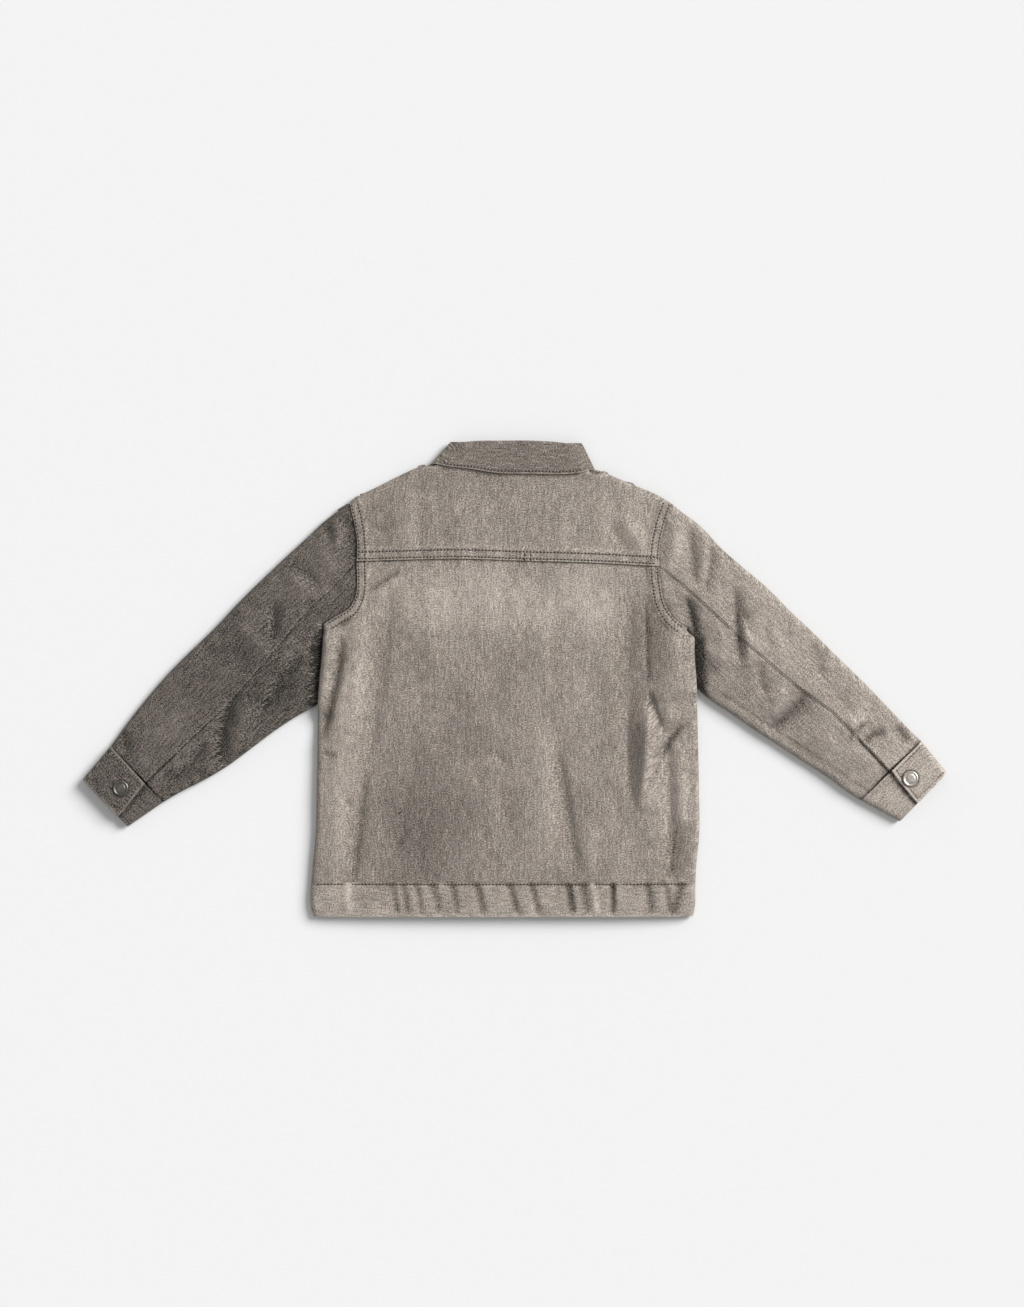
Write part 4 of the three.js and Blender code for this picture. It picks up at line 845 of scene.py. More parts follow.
# Beside the centre a front rises between two distances from it, by what its snaps or the other front
# take up
FRONTS = {
    "left": {"ramp": (24.0, 15.5), "lift": SNAP_LIFT},
    "right": {"ramp": (30.0, 17.0), "lift": SNAP_LIFT + WALL + OVERLAP_GAP},
}
FRONT_EDGE_ARC = 16.2       # length of cloth that a front takes to turn round the side edge
# Shares of the armhole's line at which a front's rows start, from the underarm to the shoulder
FRONT_HOLE_STEPS = [1, 0.99, 0.965, 0.92, 0.8, 0.64, 0.46, 0.28, 0.14, 0.07, 0.035, 0.012, 0]


def front_grid(name):
    """A front: rows start at the side seam, turn round the edge by arc length and run on to past the
    centre front. Towards the top they take on the line of shoulder and neck by a fifth power."""
    side = SIDES[name]
    sign = side["sign"]
    ramp = FRONTS[name]["ramp"]
    up = steps(256, [0, 1.5, 4], PLAIN_NEAR, 3.2)
    past = steps(140, PLAIN_NEAR, [0, 0.3, 1, 2.2], 3.2)[1:]
    hole = np.interp(past, np.linspace(0, 1, len(FRONT_HOLE_STEPS)), FRONT_HOLE_STEPS)
    start = np.vstack([side_line(side, up), curve(side["hole_front"], hole)])
    count = len(up)
    under = (side["underarm"][1] - HEM_SEAM) / (FRONT_NECK - HEM_SEAM)
    level = lerp(HEM_SEAM, FRONT_NECK, np.r_[(start[:count, 1] - HEM_SEAM) / (FRONT_NECK - HEM_SEAM),
                                             lerp(under, 1, past)])
    fade = np.r_[np.interp(start[:count, 1], [HEM_SEAM, 0, side["underarm"][1]], [0, 7 / 24, 0.5]),
                 0.5 + 0.5 * past] ** 5
    middle = centre_x(level)
    ends = np.stack([np.stack([middle + sign * ramp[0], level], -1),
                     np.stack([middle + sign * ramp[1], level], -1),
                     np.stack([middle - sign * OVERLAP, level], -1)], 1)
    arc = np.linspace(0, FRONT_EDGE_ARC, 19)
    begin = np.arccos(1 - seam_inset(side, start[:count, 1]) / FOLD_REACH)[:, None]
    angle = begin - arc[None] / FOLD_REACH
    inside = (FOLD_REACH * (1 - np.cos(np.maximum(-np.pi / 2, angle)))
              + np.maximum(0, -angle - np.pi / 2) * FOLD_REACH)
    layer = np.where(angle > 1e-9, 1.0, -1.0)
    turn = np.empty((len(start), len(arc), 2))
    turn[:count, :, 0] = start[:count, None, 0] - sign * inside
    turn[:count, :, 1] = start[:count, None, 1]
    along = ends[count:, 0] - start[count:]
    along /= np.linalg.norm(along, axis=1, keepdims=True)
    turn[count:] = start[count:, None] + along[:, None] * arc[None, :, None]
    across = np.linspace(0, 1, 34)[1:]
    flat = lerp(turn[:, -1:], ends[:, :1], across[None, :, None])
    ramped = lerp(ends[:, :1], ends[:, 1:2], np.linspace(0, 1, 6)[1:][None, :, None])
    last = lerp(ends[:, 1:2], ends[:, 2:], np.linspace(0, 1, 12)[1:][None, :, None])
    line = np.concatenate([turn, flat, ramped, last], 1)
    q = np.r_[arc / FRONT_EDGE_ARC * 6,
              np.interp(across, [0, 0.17, 0.34, 0.51, 0.68, 0.85, 1], range(6, 13)),
              np.linspace(12, 13, 6)[1:], np.linspace(13, 14, 12)[1:]]
    neck = [beside_neck(r) for r in COLLAR_FRONT[name]]
    shoulder = curve(side["shoulder"][::-1], np.r_[np.linspace(0, FRONT_EDGE_ARC, 7) / 113, 0.6, 1.0])
    top = np.vstack([shoulder, neck[4], neck[3], neck[2], neck[1], (neck[1] + neck[0]) / 2,
                     [neck[0][0] - sign * OVERLAP, neck[0][1]]])
    top_line = np.stack([np.interp(q, np.arange(15), top[:, k]) for k in (0, 1)], -1)
    grid = line + fade[:, None, None] * (top_line - line[-1])[None]
    layers = np.full(grid.shape[:2], -1.0)
    layers[:count, :len(arc)] = layer
    return grid, layers


def front_lift(name, xy):
    """How much a front is lifted beside the centre, where it lies on its snaps or on the other one."""
    ramp = FRONTS[name]["ramp"]
    out = (xy[..., 0] - centre_x(xy[..., 1])) * SIDES[name]["sign"]
    return FRONTS[name]["lift"] * np.clip((ramp[0] - out) / (ramp[0] - ramp[1]), 0, 1)


def hem_grid():
    """Hem band: one strip from the left front edge round the back to the right front edge."""
    near_bottom, near_seam = [0, 0.3, 0.9, 1.8], [0, 0.3, 0.8, 1.4, 2, 2.6, 3.4]
    y = lerp(HEM_BOTTOM, HEM_SEAM, steps(34.6, near_bottom, near_seam, 1.7))
    angle = np.linspace(-90, 90, 19) * np.pi / 180
    halves = []
    for name, side in SIDES.items():
        sign, ramp = side["sign"], FRONTS[name]["ramp"]
        lift = SNAP_LIFT if name == "left" else SNAP_LIFT + BAND_WALL + OVERLAP_GAP
        edge = side_x(side, y)[:, None]
        middle = centre_x(y)[:, None]
        centre = middle - sign * OVERLAP
        parts = [lerp(centre, middle + sign * ramp[1], np.linspace(0, 1, 9)[:-1]),
                 lerp(middle + sign * ramp[1], middle + sign * ramp[0], np.linspace(0, 1, 5)[:-1]),
                 lerp(middle + sign * ramp[0], edge - sign * FOLD_REACH, np.linspace(0, 1, 40)[:-1]),
                 edge - sign * FOLD_REACH * (1 - np.cos(angle))]
        x = np.hstack(parts)
        layer = np.full(x.shape, -1.0)
        layer[:, -len(angle):] = np.where(angle > 1e-9, 1.0, -1.0)
        out = (x - middle) * sign
        rise = lift * np.clip((ramp[0] - out) / (ramp[0] - ramp[1]), 0, 1)
        halves.append((x, layer, rise))
    left, right = halves
    low = side_x(LEFT, y)[:, None] + FOLD_REACH
    high = side_x(RIGHT, y)[:, None] - FOLD_REACH
    x = lerp(low, high, np.linspace(0, 1, 214)[1:-1])
    x = np.hstack([left[0], x, right[0][:, ::-1]])
    layer = np.hstack([left[1], np.ones((len(y), 212)), right[1][:, ::-1]])
    rise = np.hstack([left[2], np.zeros((len(y), 212)), right[2][:, ::-1]])
    return np.stack([x, np.broadcast_to(y[:, None], x.shape)], -1), layer, rise


def sleeve_grids(name):
    """A sleeve: stations run from the armhole to the cuff and fan out round the underarm. The upper
    piece goes from the back seam over the top edge and along the floor, the under piece from the back
    seam to the lower edge. The armhole's bow fades with the square of the distance from it."""
    side = SIDES[name]
    a = steps(310, [0, 0.4, 0.9, 1.6, 2.6, 3.8], [0, 1.5, 3], 2.0)
    fan = np.array(FAN)
    top = curve(side["sleeve_top"], a)
    bottom = curve(side["sleeve_bottom"], np.interp(a, fan[:, 0], fan[:, 1]))
    seam = curve(side["back_seam"], a)
    inset = side["inset"] * (0.02 + 0.98 * smooth(a / 0.25))
    width = np.linalg.norm(bottom - seam, axis=1)
    bottom_end = lerp(bottom, seam, (inset / width)[:, None])
    near = np.clip(1 - a / ARMHOLE_REACH, 0, 1)[:, None, None] ** 2

    def bowed(first, last, hole, w):
        at_hole = curve(side[hole], w)
        chord = lerp(first[0], last[0], w[:, None])
        return lerp(first[:, None], last[:, None], w[None, :, None]) + near * (at_hole - chord)[None]
    over = bowed(top, seam, "hole_top", steps(60, EDGE_NEAR, SEAM_NEAR, 1.9)[::-1])
    floor_w = steps(125, EDGE_NEAR, EDGE_NEAR, 3.4)[1:]
    below = bowed(top, bottom, "hole_front", floor_w)
    parts = [over, below]
    layers = [np.ones(over.shape[:2]), -np.ones(below.shape[:2])]
    if side["inset"]:
        w = np.array([0.02, 0.06, 0.12, 0.2, 0.3, 0.42, 0.55, 0.7, 0.85, 1.0])
        turned = lerp(bottom[:, None], bottom_end[:, None], w[None, :, None])
        parts.append(turned)
        layers.append(np.ones(turned.shape[:2]))
    edge = [0, 0.6, 1.4, 2.6] if side["inset"] else EDGE_NEAR
    under = bowed(seam, bottom_end, "hole_under", steps(55, SEAM_NEAR[:12], edge, 1.9))
    return np.concatenate(parts, 1), np.concatenate(layers, 1), under


def cuff_grid(name):
    """A cuff: from its under end beneath the flap, round by the floor, and over to the flap's end.
    c is the share of the width from the top edge, a that of the depth from the sleeve."""
    side = SIDES[name]
    a = steps(CUFF_DEPTH, [0, 0.3, 0.8, 1.5, 2.4], [0, 0.3, 0.8, 1.5, 2.4], 1.6)[:, None]
    flap = lerp(*side["flap_end"], a)
    near = np.array([0, 0.003, 0.009, 0.018, 0.03, 0.045, 0.065, 0.09])
    first = flap - CUFF_TUCKED
    under = np.hstack([first + (1 - near[-1] - flap + CUFF_TUCKED) * np.linspace(0, 1, 22)[:-1],
                       1 - near[:0:-1] + 0 * a])
    below = np.hstack([1 - near, lerp(1 - near[-1], near[-1], np.linspace(0, 1, 24)[1:-1]), near[::-1]])
    below = below + 0 * a
    over = np.hstack([near[1:] + 0 * a, near[-1] + (flap - 0.03 - near[-1]) * np.linspace(0, 1, 28)[1:],
                      flap - np.array([0.02, 0.012, 0.006, 0.0])])
    c = np.hstack([under, below, over])
    layer = np.hstack([np.ones(under.shape), -np.ones(below.shape), np.ones(over.shape)])
    height = np.hstack([np.full(under.shape, UNDER_TOP),
                        lerp(FLAP_TOP, UNDER_TOP, smooth((below - 0.3) / 0.4)),
                        np.full(over.shape, FLAP_TOP)])
    return cuff_places(side, c, a), layer, cuff_region(side, height), c, a, flap


def cuff_places(side, c, a):
    inner = np.array([side["sleeve_top"][-1], side["sleeve_bottom"][-1]], float)
    outer = np.array(side["cuff_outer"], float)
    return lerp(lerp(*inner, c[..., None]), lerp(*outer, c[..., None]), a[..., None])


def cuff_region(side, height):
    """What wall_points needs for a cuff: its two long edges and the height of its upper face."""
    ends = zip((side["sleeve_top"][-1], side["sleeve_bottom"][-1]), side["cuff_outer"])
    edges = [(np.array(end, float), side["sign"] * hand) for end, hand in zip(ends, (-1, 1))]
    return {"edges": edges, "flat": True, "top": lambda xy, distance: height,
            "floor": lambda xy: np.zeros(np.shape(xy)[:-1])}


def collar_grid():
    """Collar: a hairpin section, up from the neck seam to the roll and down to the free edge, carried
    from centre front to centre front. At each shoulder it turns over from the floor to the back."""
    def station(row, turn, out, share=0.0, behind=None):
        here = lerp(np.array(row, float), np.array(behind or row, float), 0.9 * share)
        neck, roll, rim = here[:2], here[2:4], here[4:]
        sideways = math.cos(turn) if turn < 0 else 1 - share
        rise = (roll - neck) / np.linalg.norm(roll - neck)
        half = (COLLAR["fall"] - COLLAR["rise_roll"]) / 2
        section = [(lerp(neck, roll, s), lerp(COLLAR["rise_neck"], COLLAR["rise_roll"], s),
                    COLLAR["rise_middle"]) for s in (0, 0.4, 0.8, 1)]
        section += [(roll + rise * half * math.cos(t), COLLAR["rise_roll"] + half + half * math.sin(t),
                     COLLAR["fall_middle"]) for t in (-ROLL_TURN, 0, ROLL_TURN)]
        section += [(lerp(roll, rim, s), COLLAR["fall"] + 0.9 * s * s * max(0, math.sin(turn)),
                     COLLAR["fall_middle"]) for s in (0, 0.35, 0.7, 1)]
        return [[at[0] + out[0] * reach * sideways, at[1] + out[1] * reach * sideways,
                 zero + reach * math.sin(turn)] for at, reach, zero in section]

    def half(name):
        rows = [station(row, -math.pi / 2, (0, 0)) for row in COLLAR_FRONT[name][:5]]
        row = COLLAR_FRONT[name][5]
        along = np.array(row[2:4], float) - np.array(row[4:6], float)
        along /= np.linalg.norm(along)
        out = (-along[1], along[0]) if name == "left" else (along[1], -along[0])
        behind = COLLAR_BACK[0 if name == "left" else -1]
        return rows + [station(row, math.radians(t), out, max(0, t / 90), behind)
                       for t in (-90, -60, -30, 0, 30, 60, 90)]
    middle = [station(row, math.pi / 2, (0, 0)) for row in COLLAR_BACK[1:-1]]
    rough = np.array(half("left") + middle + half("right")[::-1])
    count = len(rough)
    index = np.linspace(0, count - 1, 260)
    low = np.clip(index.astype(int), 0, count - 2)
    t = (index - low)[:, None, None]
    before, after = np.clip(low - 1, 0, count - 1), np.clip(low + 2, 0, count - 1)
    p0, p1, p2, p3 = rough[before], rough[low], rough[low + 1], rough[after]
    dense = 0.5 * (2 * p1 + (p2 - p0) * t + (2 * p0 - 5 * p1 + 4 * p2 - p3) * t ** 2
                   + (3 * p1 - p0 - 3 * p2 + p3) * t ** 3)
    to_rim = np.r_[np.linspace(0, 0.88, 14), 0.92, 0.95, 0.98, 1]
    s = np.r_[np.linspace(0, 3, 13)[:-1], np.linspace(3, 7, 17)[:-1],
              np.interp(to_rim, [0, 0.35, 0.7, 1], [7, 8, 9, 10])]
    low = np.clip(s.astype(int), 0, 9)
    f = (s - low)[None, :, None]
    return lerp(dense[:, low], dense[:, low + 1], f)


def thickened(grid, wall):
    """Outer and inner points half a wall to either side of a middle surface, along its normals."""
    down = np.gradient(grid, axis=0)
    across = np.gradient(grid, axis=1)
    normal = np.cross(down, across)
    normal /= np.maximum(np.linalg.norm(normal, axis=2, keepdims=True), 1e-9)
    return grid + normal * wall / 2, grid - normal * wall / 2


# Materials

class Nodes:
    """Nodes of a new material. Inputs go by name or number: a value, or the output that feeds it."""

    def __init__(self, name):
        self.material = bpy.data.materials.new(name)
        self.material.use_nodes = True
        self.tree = self.material.node_tree

    def feed(self, node, inputs):
        for key, value in inputs.items():
            if isinstance(value, bpy.types.NodeSocket):
                self.tree.links.new(value, node.inputs[key])
            else:
                node.inputs[key].default_value = value
        return node

    def add(self, kind, inputs, **settings):
        node = self.tree.nodes.new("ShaderNode" + kind)
        for key, value in settings.items():
            setattr(node, key, value)
        return self.feed(node, inputs).outputs

    def noise(self, place, scale, detail, stretch=None):
        if stretch:
            place = self.add("Mapping", {"Scale": stretch, "Vector": place})["Vector"]
        return self.add("TexNoise", {"Scale": scale, "Detail": detail, "Vector": place})["Fac"]

    def ramp(self, level, stops):
        """A colour from a level, by stops of level and colour."""
        node = self.feed(self.tree.nodes.new("ShaderNodeValToRGB"), {"Fac": level})
        elements = node.color_ramp.elements
        for _ in stops[2:]:
            elements.new(0.5)
        for i, (position, colour) in enumerate(stops):
            elements[i].position = position
            elements[i].color = (*colour, 1)
        return node.outputs["Color"]

    def bump(self, height, strength, distance):
        inputs = {"Strength": strength, "Distance": distance, "Height": height}
        return self.add("Bump", inputs)["Normal"]

    def coat(self, **values):
        """Sets the shader, by names with _ for a space, and gives the finished material."""
        inputs = {name.replace("_", " "): value for name, value in values.items()}
        self.feed(self.tree.nodes["Principled BSDF"], inputs)
        return self.material


def denim_material(name):
    """Washed denim. The colour goes from the dark to the light one by the shade attribute, with flecks
    of undyed weft, streaks along the warp and the twill's diagonal; the same twill and flecks raise the
    surface a little."""
    colours = bpy.context.scene.jacket_colours
    made = Nodes(name)

    def maths(operation, *values):
        return made.add("Math", dict(enumerate(values)), operation=operation)[0]

    weave = made.add("UVMap", {}, uv_map="weave")["UV"]
    level = made.add("Attribute", {}, attribute_name="shade")["Fac"]
    flecks = made.noise(weave, 760, 3, (1, 1, 1))
    fibres = made.noise(weave, 480, 2, (1, 0.2, 1))
    slubs = made.noise(weave, 560, 2, (0.3, 1, 1))
    clouds = made.noise(weave, 45, 2, (1, 0.5, 1))
    diagonal = made.add("Mapping", {"Rotation": (0, 0, math.radians(-55)), "Vector": weave})["Vector"]
    twill = made.add("TexWave", {"Vector": diagonal, "Scale": 340, "Distortion": 1.2, "Detail": 1,
                                 "Detail Scale": 2}, bands_direction="X")["Fac"]
    patterns = ((flecks, 1.55), (fibres, 0.55), (slubs, 0.12), (clouds, 0.10), (twill, 0.10))
    for pattern, contrast in patterns:
        level = maths("MULTIPLY_ADD", maths("SUBTRACT", pattern, 0.5), contrast, level)
    height = maths("MULTIPLY_ADD", flecks, 0.6, maths("MULTIPLY", fibres, 0.7))
    height = maths("MULTIPLY_ADD", twill, 0.5, height)
    return made.coat(
        Base_Color=made.ramp(level, [(0, colours.denim_dark), (0.5, colours.denim_middle),
                                     (1, colours.denim_light)]),
        Normal=made.bump(height, 0.8, 0.0007), Roughness=maths("MULTIPLY_ADD", flecks, 0.12, 0.84),
        Specular_IOR_Level=0.25, Sheen_Weight=0.12, Sheen_Roughness=0.5)


def thread_material(name, colour):
    """Twisted sewing thread: its colour darkened in fine slanted turns."""
    made = Nodes(name)
    place = made.add("TexCoord", {})["Object"]
    turns = made.add("TexWave", {"Scale": 900, "Distortion": 2, "Vector": place},
                     bands_direction="DIAGONAL")
    mix = made.add("Mix", {"A": (*(0.6 * c for c in colour), 1), "B": (*colour, 1),
                           "Factor": turns["Fac"]}, data_type="RGBA")
    return made.coat(Base_Color=mix["Result"], Roughness=0.7)


def metal_material(name, light):
    """Aged nickel: brushed by fine noise and dull in patches. Its colour is scaled by light, which
    paints light on a lit copy and shade on a shaded one.
    """
    made = Nodes(name)
    noise = made.noise(made.add("TexCoord", {})["Object"], 420, 4)
    colour = [light * c for c in bpy.context.scene.jacket_colours.metal]
    return made.coat(Base_Color=made.ramp(noise, [(0.3, [0.45 * c for c in colour]), (0.7, colour)]),
                     Normal=made.bump(noise, 0.15, 0.0001), Metallic=0.9, Roughness=0.38)


def shared(name, make, *args):
    """The material of that name, which is made on first use."""
    return bpy.data.materials.get(name) or make(name, *args)


# Stitching and snaps

def offset_line(line, distance):
    """A line moved sideways to its left hand by a distance."""
    along = np.gradient(line, axis=0)
    along /= np.linalg.norm(along, axis=1, keepdims=True)
    return line + np.stack([-along[:, 1], along[:, 0]], 1) * distance


def ring_corners(rings, sides):
    """Corners of a tube by number: each of those on all rings but the last, and the next one round."""
    i, j = np.meshgrid(np.arange(rings - 1), np.arange(sides), indexing="ij")
    return i * sides + j, i * sides + (j + 1) % sides


def stitch_piece(name, points, one, colour):
    """One object of many like pieces: points by piece, and the faces of the first of them."""
    first = np.arange(len(points)) * points[0].size // 3
    piece = put(name, points.reshape(-1, 3), (one[None] + first[:, None, None]).reshape(-1, 4))
    piece.data.materials.append(shared(colour, thread_material,
                                       tuple(getattr(bpy.context.scene.jacket_colours, colour))))
    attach(piece, "root")


def sewn(name, rows, mark=1.0):
    """Rows of stitches: each is a thread bent down at both ends, with a dark needle mark between it
    and the next. rows holds lines of points on the cloth, mark is the size of the marks. A stitch is a
    closed tube along s from -1 to 1 with radius r * sqrt(1 - |s|^5), sunk by s^2."""
    k = bpy.context.scene.jacket_sizes
    pitch, radius = k.stitch_pitch * 1000, k.thread_width * 500
    starts, ends = [], []
    for line in rows:
        run = np.r_[0, np.cumsum(np.linalg.norm(np.diff(line, axis=0), axis=1))]
        at = np.linspace(0, run[-1], max(1, int(run[-1] / pitch)) + 1)
        cut = np.stack([np.interp(at, run, line[:, i]) for i in range(3)], -1)
        starts.append(cut[:-1])
        ends.append(cut[1:])
    start, end = np.vstack(starts), np.vstack(ends)
    along = end - start
    length = np.linalg.norm(along, axis=1, keepdims=True)
    along /= length
    up = np.array([0, 0, 1.0]) - along * along[:, 2:]
    up /= np.linalg.norm(up, axis=1, keepdims=True)
    across = np.cross(along, up)[:, None, None]
    s = np.array([-0.98, -0.8, -0.4, 0.0, 0.4, 0.8, 0.98])
    around = np.arange(6) * np.pi / 3
    reach = radius * np.sqrt(1 - np.abs(s) ** 5)
    sunk = reach[:, None] * np.sin(around) * 0.8 + 0.18 - 0.42 * s[:, None] ** 2
    tube = (((start + end) / 2)[:, None, None]
            + along[:, None, None] * (s[:, None] * 0.5)[None, :, :, None]
            * (length * 0.76)[:, None, None]
            + across * (reach[:, None] * np.cos(around))[None, :, :, None]
            + up[:, None, None] * sunk[None, :, :, None])
    a, b = ring_corners(len(s), len(around))
    caps = np.array([[0, 5, 4, 1], [1, 4, 3, 2]])
    last = (len(s) - 1) * len(around)
    one = np.vstack([np.stack([a, b, b + len(around), a + len(around)], -1).reshape(-1, 4), caps,
                     (caps + last)[:, ::-1]])
    stitch_piece(name + "_thread", tube, one, "thread")

    ring = (np.arange(8) * np.pi / 4)[None, :, None]
    disc = (start[:, None] + (across[:, 0] * np.cos(ring) * 0.88 * mark
                              + along[:, None] * np.sin(ring) * 0.80 * mark) + up[:, None] * 0.34)
    low = start[:, None] - up[:, None] * 0.45 + 0.5 * (disc - start[:, None])
    top = np.array([[0, 1, 2, 3], [0, 3, 4, 7], [4, 5, 6, 7]])
    j = np.arange(8)
    wall = np.stack([j, j + 8, (j + 1) % 8 + 8, (j + 1) % 8], -1)
    stitch_piece(name + "_needle_marks", np.concatenate([disc, low], 1),
                 np.vstack([top, wall, (top + 8)[:, ::-1]]), "needle_mark")


def on_body(line, piece):
    """A line of places laid on the body's upper face."""
    return wall_points(BODY, line, 1.0, WALL, body_relief(line, piece))[0]


def on_sleeve(line, name, piece="upper"):
    return wall_points(SLEEVE[name], line, 1.0, WALL, sleeve_relief(line, name, piece))[0]


def on_cuff(side, c, a):
    """A line on a cuff's flap: c runs across from the top edge, a from the sleeve to the cuff's end."""
    line = cuff_places(side, *np.broadcast_arrays(c, a))
    return wall_points(cuff_region(side, FLAP_TOP), line, 1.0, BAND_WALL, 0.2 + wrinkles(line, 0.35))[0]


def part_of(line, low, high):
    """The part of a line between two shares of its length."""
    run = np.r_[0, np.cumsum(np.linalg.norm(np.diff(line, axis=0), axis=1))]
    at = np.linspace(low * run[-1], high * run[-1], 160)
    return np.stack([np.interp(at, run, line[:, k]) for k in range(line.shape[1])], -1)


def snap_cap(name, place, foot, radius, height, groove=0.2, under=False):
    """A snap's cap: a profile of radius and height spun round its axis. The middle is a low dome, and a
    shallow groove parts it from the rolled rim."""
    profile = np.array(SNAP_PROFILE)
    profile[:9, 1] -= groove * bell(profile[:9, 0] - 0.66, 0.07)
    dense = np.vstack([profile[:1], curve(profile[:12], np.linspace(0.01, 1, 40)), profile[12:]])
    if under:
        dense = np.column_stack([dense[:, 0], 1 - dense[:, 1]])
    sides = 48
    around = np.arange(sides) * np.pi / 24
    ring = dense[1:-1]
    x = place[0] + radius * ring[:, :1] * np.cos(around)
    y = place[1] + radius * ring[:, :1] * np.sin(around)
    z = np.broadcast_to(foot + height * ring[:, 1:], x.shape)
    poles = [[place[0], place[1], foot + height * dense[i, 1]] for i in (0, -1)]
    a, b = ring_corners(len(ring), sides)
    j = np.arange(sides)
    pole, base = len(ring) * sides, (len(ring) - 1) * sides
    faces = [np.stack([a, a + sides, b], -1).reshape(-1, 3),
             np.stack([b, a + sides, b + sides], -1).reshape(-1, 3),
             np.stack([np.full(sides, pole), j, (j + 1) % sides], -1),
             np.stack([np.full(sides, pole + 1), base + (j + 1) % sides, base + j], -1)]
    points = np.vstack([np.stack([x, y, z], -1).reshape(-1, 3), poles])
    cap = put(name + "_cap", points, np.vstack(faces))
    # Lit and shaded copies of one metal: the right cuff's snap in painted light, the others in painted
    # shade
    painted_lighting, light = ("worn_snap", 1.9) if name == "cuff_snap_right" else ("dull_snap", 0.55)
    cap.data.materials.append(shared(painted_lighting, metal_material, light))
    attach(cap, "root")
    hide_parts(name)


# Settings

class JacketSizes(PropertyGroup):
    """Sizes of the sewing and of the cloth's surface."""
    seam_height: FloatProperty(name="Seam height", description="How far a felled seam stands proud",
                               default=0.0013, min=0.0, max=0.003, unit="LENGTH")
    stitch_pitch: FloatProperty(name="Stitch pitch", description="From one needle hole to the next",
                                default=0.0034, min=0.0015, max=0.008, unit="LENGTH")
    thread_width: FloatProperty(name="Thread width", description="Diameter of the sewing thread",
                                default=0.0010, min=0.0003, max=0.002, unit="LENGTH")
    camera_height: FloatProperty(name="Camera height", description="Height above the floor",
                                 default=3.2, min=1.0, max=10.0, unit="LENGTH")


class JacketColours(PropertyGroup):
    """Colours of cloth, thread, metal and floor."""
    denim_dark: FloatVectorProperty(name="Dark denim", description="Cloth at shade 0", subtype="COLOR",
                                    default=(0.014, 0.012, 0.009), min=0.0, max=1.0)
    denim_middle: FloatVectorProperty(name="Middle denim", description="Cloth at shade 0.5",
                                      subtype="COLOR", default=(0.262, 0.226, 0.193), min=0.0, max=1.0)
    denim_light: FloatVectorProperty(name="Light denim", description="Cloth at shade 1",
                                     subtype="COLOR", default=(0.70, 0.62, 0.55), min=0.0, max=1.0)
    thread: FloatVectorProperty(name="Thread", description="Sewing thread", subtype="COLOR",
                                default=(0.26, 0.22, 0.18), min=0.0, max=1.0)
    needle_mark: FloatVectorProperty(name="Needle mark", description="Shaded hole between two stitches",
                                     subtype="COLOR", default=(0.012, 0.010, 0.008), min=0.0, max=1.0)
    metal: FloatVectorProperty(name="Snap metal", description="Aged nickel of the snaps",
                               subtype="COLOR", default=(0.42, 0.39, 0.35), min=0.0, max=1.0)
    floor: FloatVectorProperty(name="Floor", description="Pale floor", subtype="COLOR",
                               default=(0.77, 0.77, 0.77), min=0.0, max=1.0)


# Operators

class JACKET_OT_back(Operator):
    """Lower back panel and yoke"""
    bl_idname = "jacket.back"
    bl_label = "Back and yoke"

    def execute(self, context):
        for piece, grid, flat, area in (("back", back_grid(), (0.385, 0.325), 0.116),
                                        ("yoke", yoke_grid(), (0.325, 0.100), 0.0275)):
            outer, inner = wall_points(BODY, grid, 1.0, WALL, body_relief(grid, piece))
            thing = cloth_wall(piece + "_panel", outer, inner, body_shade(grid, piece), 0)
            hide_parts(piece)
        return {"FINISHED"}


class JACKET_OT_fronts(Operator):
    """Left and right front, which lie on the floor"""
    bl_idname = "jacket.fronts"
    bl_label = "Fronts"

    def execute(self, context):
        for name in SIDES:
            grid, layer = front_grid(name)
            relief = wrinkles(grid, 0.38) * (layer > 0)
            outer, inner = wall_points(BODY, grid, layer, WALL, relief, front_lift(name, grid))
            shade = body_shade(grid, "back")
            thing = cloth_wall(f"front_{name}_panel", outer, inner, shade, 0)
            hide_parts(f"front_{name}")
        return {"FINISHED"}


class JACKET_OT_hem_band(Operator):
    """Hem band, one strip round the hem with its puckers"""
    bl_idname = "jacket.hem_band"
    bl_label = "Hem band"

    def execute(self, context):
        grid, layer, lift = hem_grid()
        down = (HEM_SEAM - grid[..., 1]) / (HEM_SEAM - HEM_BOTTOM)
        relief = wrinkles(grid, 0.3)
        for top, bottom, half, depth in HEM_PUCKERS:
            pucker = PUCKER_STRENGTH * depth * bell(grid[..., 0] - lerp(top, bottom, down), half)
            relief += pucker * smooth(down / 0.1) * smooth((1.02 - down) / 0.25)
        from_seam = HEM_SEAM - grid[..., 1]
        relief += ledge(from_seam, 0.7, 40, (HEM_ROW,))
        relief += puckers(grid[..., 0], from_seam, 7, 0.8, 20, 51)
        outer, inner = wall_points(BODY, grid, layer, BAND_WALL, relief * (layer > 0), lift)
        shade = BASE_SHADE["hem"] + 0.5 * patches(BODY_PATCHES, grid) + mottles(grid, "hem")
        # 0.12 times the relief is painted light and shade of the puckers: lighter where they rise,
        # darker in their troughs
        shade += 0.12 * np.clip(relief - 0.7, -2.5, 1.2) + seam_wear(from_seam, (HEM_ROW,), 0.05)
        shade += 0.06 * bell(grid[..., 1] - HEM_BOTTOM, 1.5)
        band = cloth_wall("hem_band_strip", outer, inner, shade, 90)
        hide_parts("hem_band")
        return {"FINISHED"}


